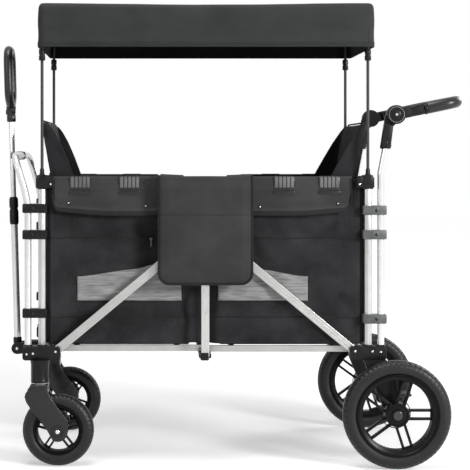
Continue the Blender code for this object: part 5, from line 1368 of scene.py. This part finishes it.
def moving_half(bm, inner, side, reach, half):
    """The outer disc and the flat-sided arm that grows out of it, with a long recess in its face."""
    hinge_disc(bm, inner, side)
    place = along(HINGE, ARM_OUT)

    def block(low, high, rounding):
        """A box given along the arm, out from the hinge, and in height across it."""
        verts = add_block(bm, (low[0], side * low[1], low[2]), (high[0], side * high[1], high[2]), 0.0)
        bmesh.ops.transform(bm, verts=verts, matrix=place)
        soften(bm, verts, rounding, 0, 3)

    block((-half, inner + 0.0002, 0.008), (half, inner + 0.0108, 0.042), 0.0024)
    block((-half, POST_Y - 0.0110, 0.033), (half, POST_Y + 0.0112, reach), 0.0056)
    # A raised frame on the arm's outer face, round a long recess
    out = POST_Y + 0.0108
    for sign in (-1, 1):
        block((sign * (half - 0.0042), out, 0.040), (sign * (half - 0.0062), out + 0.0014, reach - 0.006), 0.0006)
    for z in (0.040, reach - 0.008):
        block((-half + 0.0042, out, z), (half - 0.0042, out + 0.0014, z + 0.0020), 0.0006)


def push_legs():
    """The rear legs, bent back at the top, each with a sleeve that ends in the fixed half of the hinge."""
    # The sleeve stands more upright than the line to the hinge, and wraps the disc's front edge
    inner = [(0.3960, 0.8350), (0.4210, 0.8350), (0.4272, 0.8840), (0.4355, 0.8925), (0.4355, 0.9170),
             (0.4125, 0.9235), (0.4070, 0.9110)]
    full = [(0.3932, 0.8270), (0.4202, 0.8270), (0.4272, 0.8840), (0.4250, 0.8900), (0.4040, 0.8960)]
    mouth = [(LEG_RADIUS, 0.080), (0.0132, 0.080), (0.0132, 0.0895), (0.0122, 0.0908), (LEG_RADIUS, 0.0908)]
    for word, side in SIDES:
        y = side * POST_Y
        hinge = HINGE + ACROSS * y
        line = [(PUSH_LEG_X, y, LEG_FOOT), (PUSH_LEG_X, y, 0.763), hinge + SLEEVE_DOWN * 0.088,
                hinge + SLEEVE_DOWN * 0.060]
        shown_as(swept(f"push_leg_tube_{word}", line, LEG_RADIUS, BRIGHT_ALUMINIUM, "rear_frame", 0.05),
                 f"push_leg_{word}")
        bm = bmesh.new()
        hinge_disc(bm, POST_Y - 0.0115, side)
        for outline, low, high, rounding in ((inner, -0.0113, -0.0008, 0.0020), (full, -0.0112, 0.0112, 0.0050)):
            add_plate(bm, outline, side * (POST_Y + low), side * (POST_Y + high), rounding)
        # A small square key near the foot of the sleeve
        side_block(bm, side, (0.4050, 0.4120), (POST_Y + 0.0104, POST_Y + 0.0128), (0.8395, 0.8465), 0.0008, 1)
        add_turned(bm, mouth, along(hinge, SLEEVE_DOWN), 40)
        shown_as(finish_piece(f"leg_sleeve_{word}", bm, [NYLON, GLOSSY_NYLON], "rear_frame"),
                 f"hinge_base_{word}")


def push_bar():
    """The push bar: moving hinge halves with a grey ring that is a painted highlight of the disc's rim, and a
    button, recessed arms, and a long foam grip.
    """
    # The thin grey ring on each hinge disc is a painted highlight of the disc's rim
    ring = [(0.0196, 0.0100), (0.0208, 0.0100), (0.0208, 0.0116), (0.0196, 0.0116)]
    cap = [(0.0, 0.0136), (0.0085, 0.0134), (0.0112, 0.0124), (0.0116, 0.0100), (0.0, 0.0100)]
    button = [(0.0, 0.0148), (0.0030, 0.0147), (0.0040, 0.0130), (0.0, 0.0130)]
    collar = [(0.009, 0.0755), (0.0150, 0.0755), (0.0160, 0.0770), (0.0160, 0.0822), (0.0150, 0.0838),
              (0.009, 0.0838)]
    bm = bmesh.new()
    for _, side in SIDES:
        y = side * POST_Y
        moving_half(bm, POST_Y + 0.0002, side, 0.079, 0.0143)
        place = outward((HINGE.x, y, HINGE.z), side)
        add_turned(bm, ring, place, 56, index=2)
        add_turned(bm, cap, place, 48, closed=False)
        add_turned(bm, button, place, 24, index=1, closed=False)
        add_turned(bm, collar, along(HINGE + ACROSS * y, ARM_OUT), 40)
    shown_as(finish_piece("push_arms", bm, [NYLON, ZINC, GREY_REST_AND_HIGHLIGHT], "push_handle"),
             "push_handle_bar")

    start, reach = HINGE + ARM_OUT * 0.0842, HINGE + ARM_OUT * 0.168
    near, far = -POST_Y * ACROSS, POST_Y * ACROSS
    path = rounded([start + near, reach + near, reach + far, start + far], 0.036)
    first, second = ARM_OUT * 0.0010, ARM_OUT * 0.0030
    path = [path[0], path[0] + first, path[0] + second, *path[1:-1], path[-1] + second, path[-1] + first, path[-1]]
    radii = [0.86, 0.96] + [1.0] * (len(path) - 4) + [0.96, 0.86]
    shown_as(swept("push_foam", path, 0.0155, GRIP_FOAM, "push_handle", radii=radii, sides=10), "push_grip")


def pull_bar():
    """The telescoping pull handle: a pivot eye, a lower tube with a collar, a thin upper tube and a loop grip."""
    place = along(PULL_PIVOT, PULL_UP)
    bm = bmesh.new()
    add_rod(bm, PULL_PIVOT + PULL_UP * 0.008, PULL_PIVOT + PULL_UP * 0.400, 0.0095, 40)
    shown_as(finish_piece("pull_lower_tube", bm, BRIGHT_ALUMINIUM, "pull_handle"), "pull_tube_lower")
    bm = bmesh.new()
    collar = [(0.0, 0.343), (0.0104, 0.343), (0.0118, 0.345), (0.0125, 0.350), (0.0125, 0.381), (0.0108, 0.3835),
              (0.0108, 0.3885), (0.0125, 0.391), (0.0125, 0.411), (0.0112, 0.4155), (0.0098, 0.4190), (0.0, 0.4190)]
    add_turned(bm, collar, place, 44, closed=False)
    eye = [(0.0, -0.0105), (0.0122, -0.0105), (0.0135, -0.0092), (0.0135, 0.0092), (0.0122, 0.0105), (0.0, 0.0105)]
    add_turned(bm, eye, outward(PULL_PIVOT, 1), 40, closed=False)
    add_turned(bm, [(0.0, 0.010), (0.0112, 0.010), (0.0118, 0.026), (0.0104, 0.030), (0.0, 0.030)], place, 40,
               closed=False)
    finish_piece("pull_fittings", bm, NYLON, "pull_handle")

    top = 0.644
    end = PULL_PIVOT + PULL_UP * top
    bm = bmesh.new()
    add_rod(bm, PULL_PIVOT + PULL_UP * (top - 0.569), end, 0.0075, 36, 0.001)
    shown_as(finish_piece("pull_upper_tube", bm, BRIGHT_ALUMINIUM, "pull_slide"), "pull_tube_upper")

    low, high = end + PULL_UP * 0.024, end + PULL_UP * 0.182
    half = ACROSS * 0.048
    corners = [high + half, low + PULL_UP * 0.030 + half, low, low + PULL_UP * 0.030 - half, high - half]
    shown_as(swept("pull_loop", corners, 0.012, GRIP_FOAM, "pull_slide", 0.034, 10, loop=True), "pull_grip")
    bm = bmesh.new()
    neck = [(0.0, -0.016), (0.0112, -0.016), (0.0125, -0.014), (0.0125, 0.002), (0.0117, 0.0035), (0.0117, 0.0055),
            (0.0125, 0.007), (0.0128, 0.016), (0.0140, 0.026), (0.0, 0.030)]
    add_turned(bm, neck, along(end, PULL_UP), 40, closed=False)
    add_block(bm, (end.x - 0.0150, -0.0055, end.z + 0.004), (end.x - 0.0090, 0.0055, end.z + 0.018), 0.0020)
    finish_piece("pull_neck", bm, GLOSSY_NYLON, "pull_slide")


def pull_pivot():
    """The clevis on the front cross tube that the pull handle turns in, with its pin and two clamping screws."""
    outline = [*arc((PULL_PIVOT.x, PULL_PIVOT.z), 0.016, 90, 270, 14), (-0.4890, 0.2700), (-0.4815, 0.2760),
               (-0.4815, 0.2920), (-0.4890, 0.2980)]
    pin = [(0.0, 0.0228), (0.0062, 0.0226), (0.0078, 0.0212), (0.0078, 0.0190), (0.0, 0.0190)]
    bm = bmesh.new()
    for _, side in SIDES:
        add_plate(bm, outline, side * 0.0112, side * 0.0203, 0.0018)
        add_turned(bm, pin, outward(PULL_PIVOT, side), 32, closed=False)
        bolt_head(bm, outward((PULL_PIVOT.x, side * 0.0224, PULL_PIVOT.z), side), 0.0044, 0.0016, 1)
        bolt_head(bm, outward((-0.5120, side * 0.0203, 0.2840), side), 0.0036, 0.0016, 1)
    add_block(bm, (-0.5540, -0.0118, 0.2640), (-0.4840, 0.0118, 0.2965), 0.0020)
    shown_as(finish_piece("pull_clevis", bm, [NYLON, ZINC], "front_frame"), "pull_pivot_bracket")


def foot_brake():
    """The brake pedal, clamped round the axle, with ribs under the foot."""
    clamp = [(0.0, -0.0300), (0.0138, -0.0300), (0.0150, -0.0288), (0.0150, 0.0288), (0.0138, 0.0300), (0.0, 0.0300)]
    bm = bmesh.new()
    add_turned(bm, clamp, outward((REAR_AXLE_X, 0, REAR_RADIUS), 1), 40, closed=False)
    add_block(bm, (0.4340, -0.0300, 0.1425), (0.5115, 0.0300, 0.1508), 0.0030)
    for step in range(6):
        x = 0.4600 + 0.0085 * step
        add_block(bm, (x, -0.0240, 0.1500), (x + 0.0035, 0.0240, 0.1519), 0.0007)
    shown_as(finish_piece("foot_pedal", bm, NYLON, "brake"), "brake_pedal")


# CAD nodes that stay as they are, with their finish
dress(CROSS_ALUMINIUM, "rear_cross_tube", "front_cross_tube")
dress(NYLON, "centre_beam")
dress(ROD_PAINT, "rear_axle")
dress(FOAM_BOARD, "rear_floor_board", "front_floor_board")

for build in (wheels, caster_forks, posts, tub_walls, flaps, organiser, sunshade, canopy_bows, seat_pads, seat_backs,
              top_brackets, bottom_brackets, front_arch, linkage, floor_frames, push_legs, push_bar, pull_bar,
              pull_pivot, foot_brake, studio):
    build()
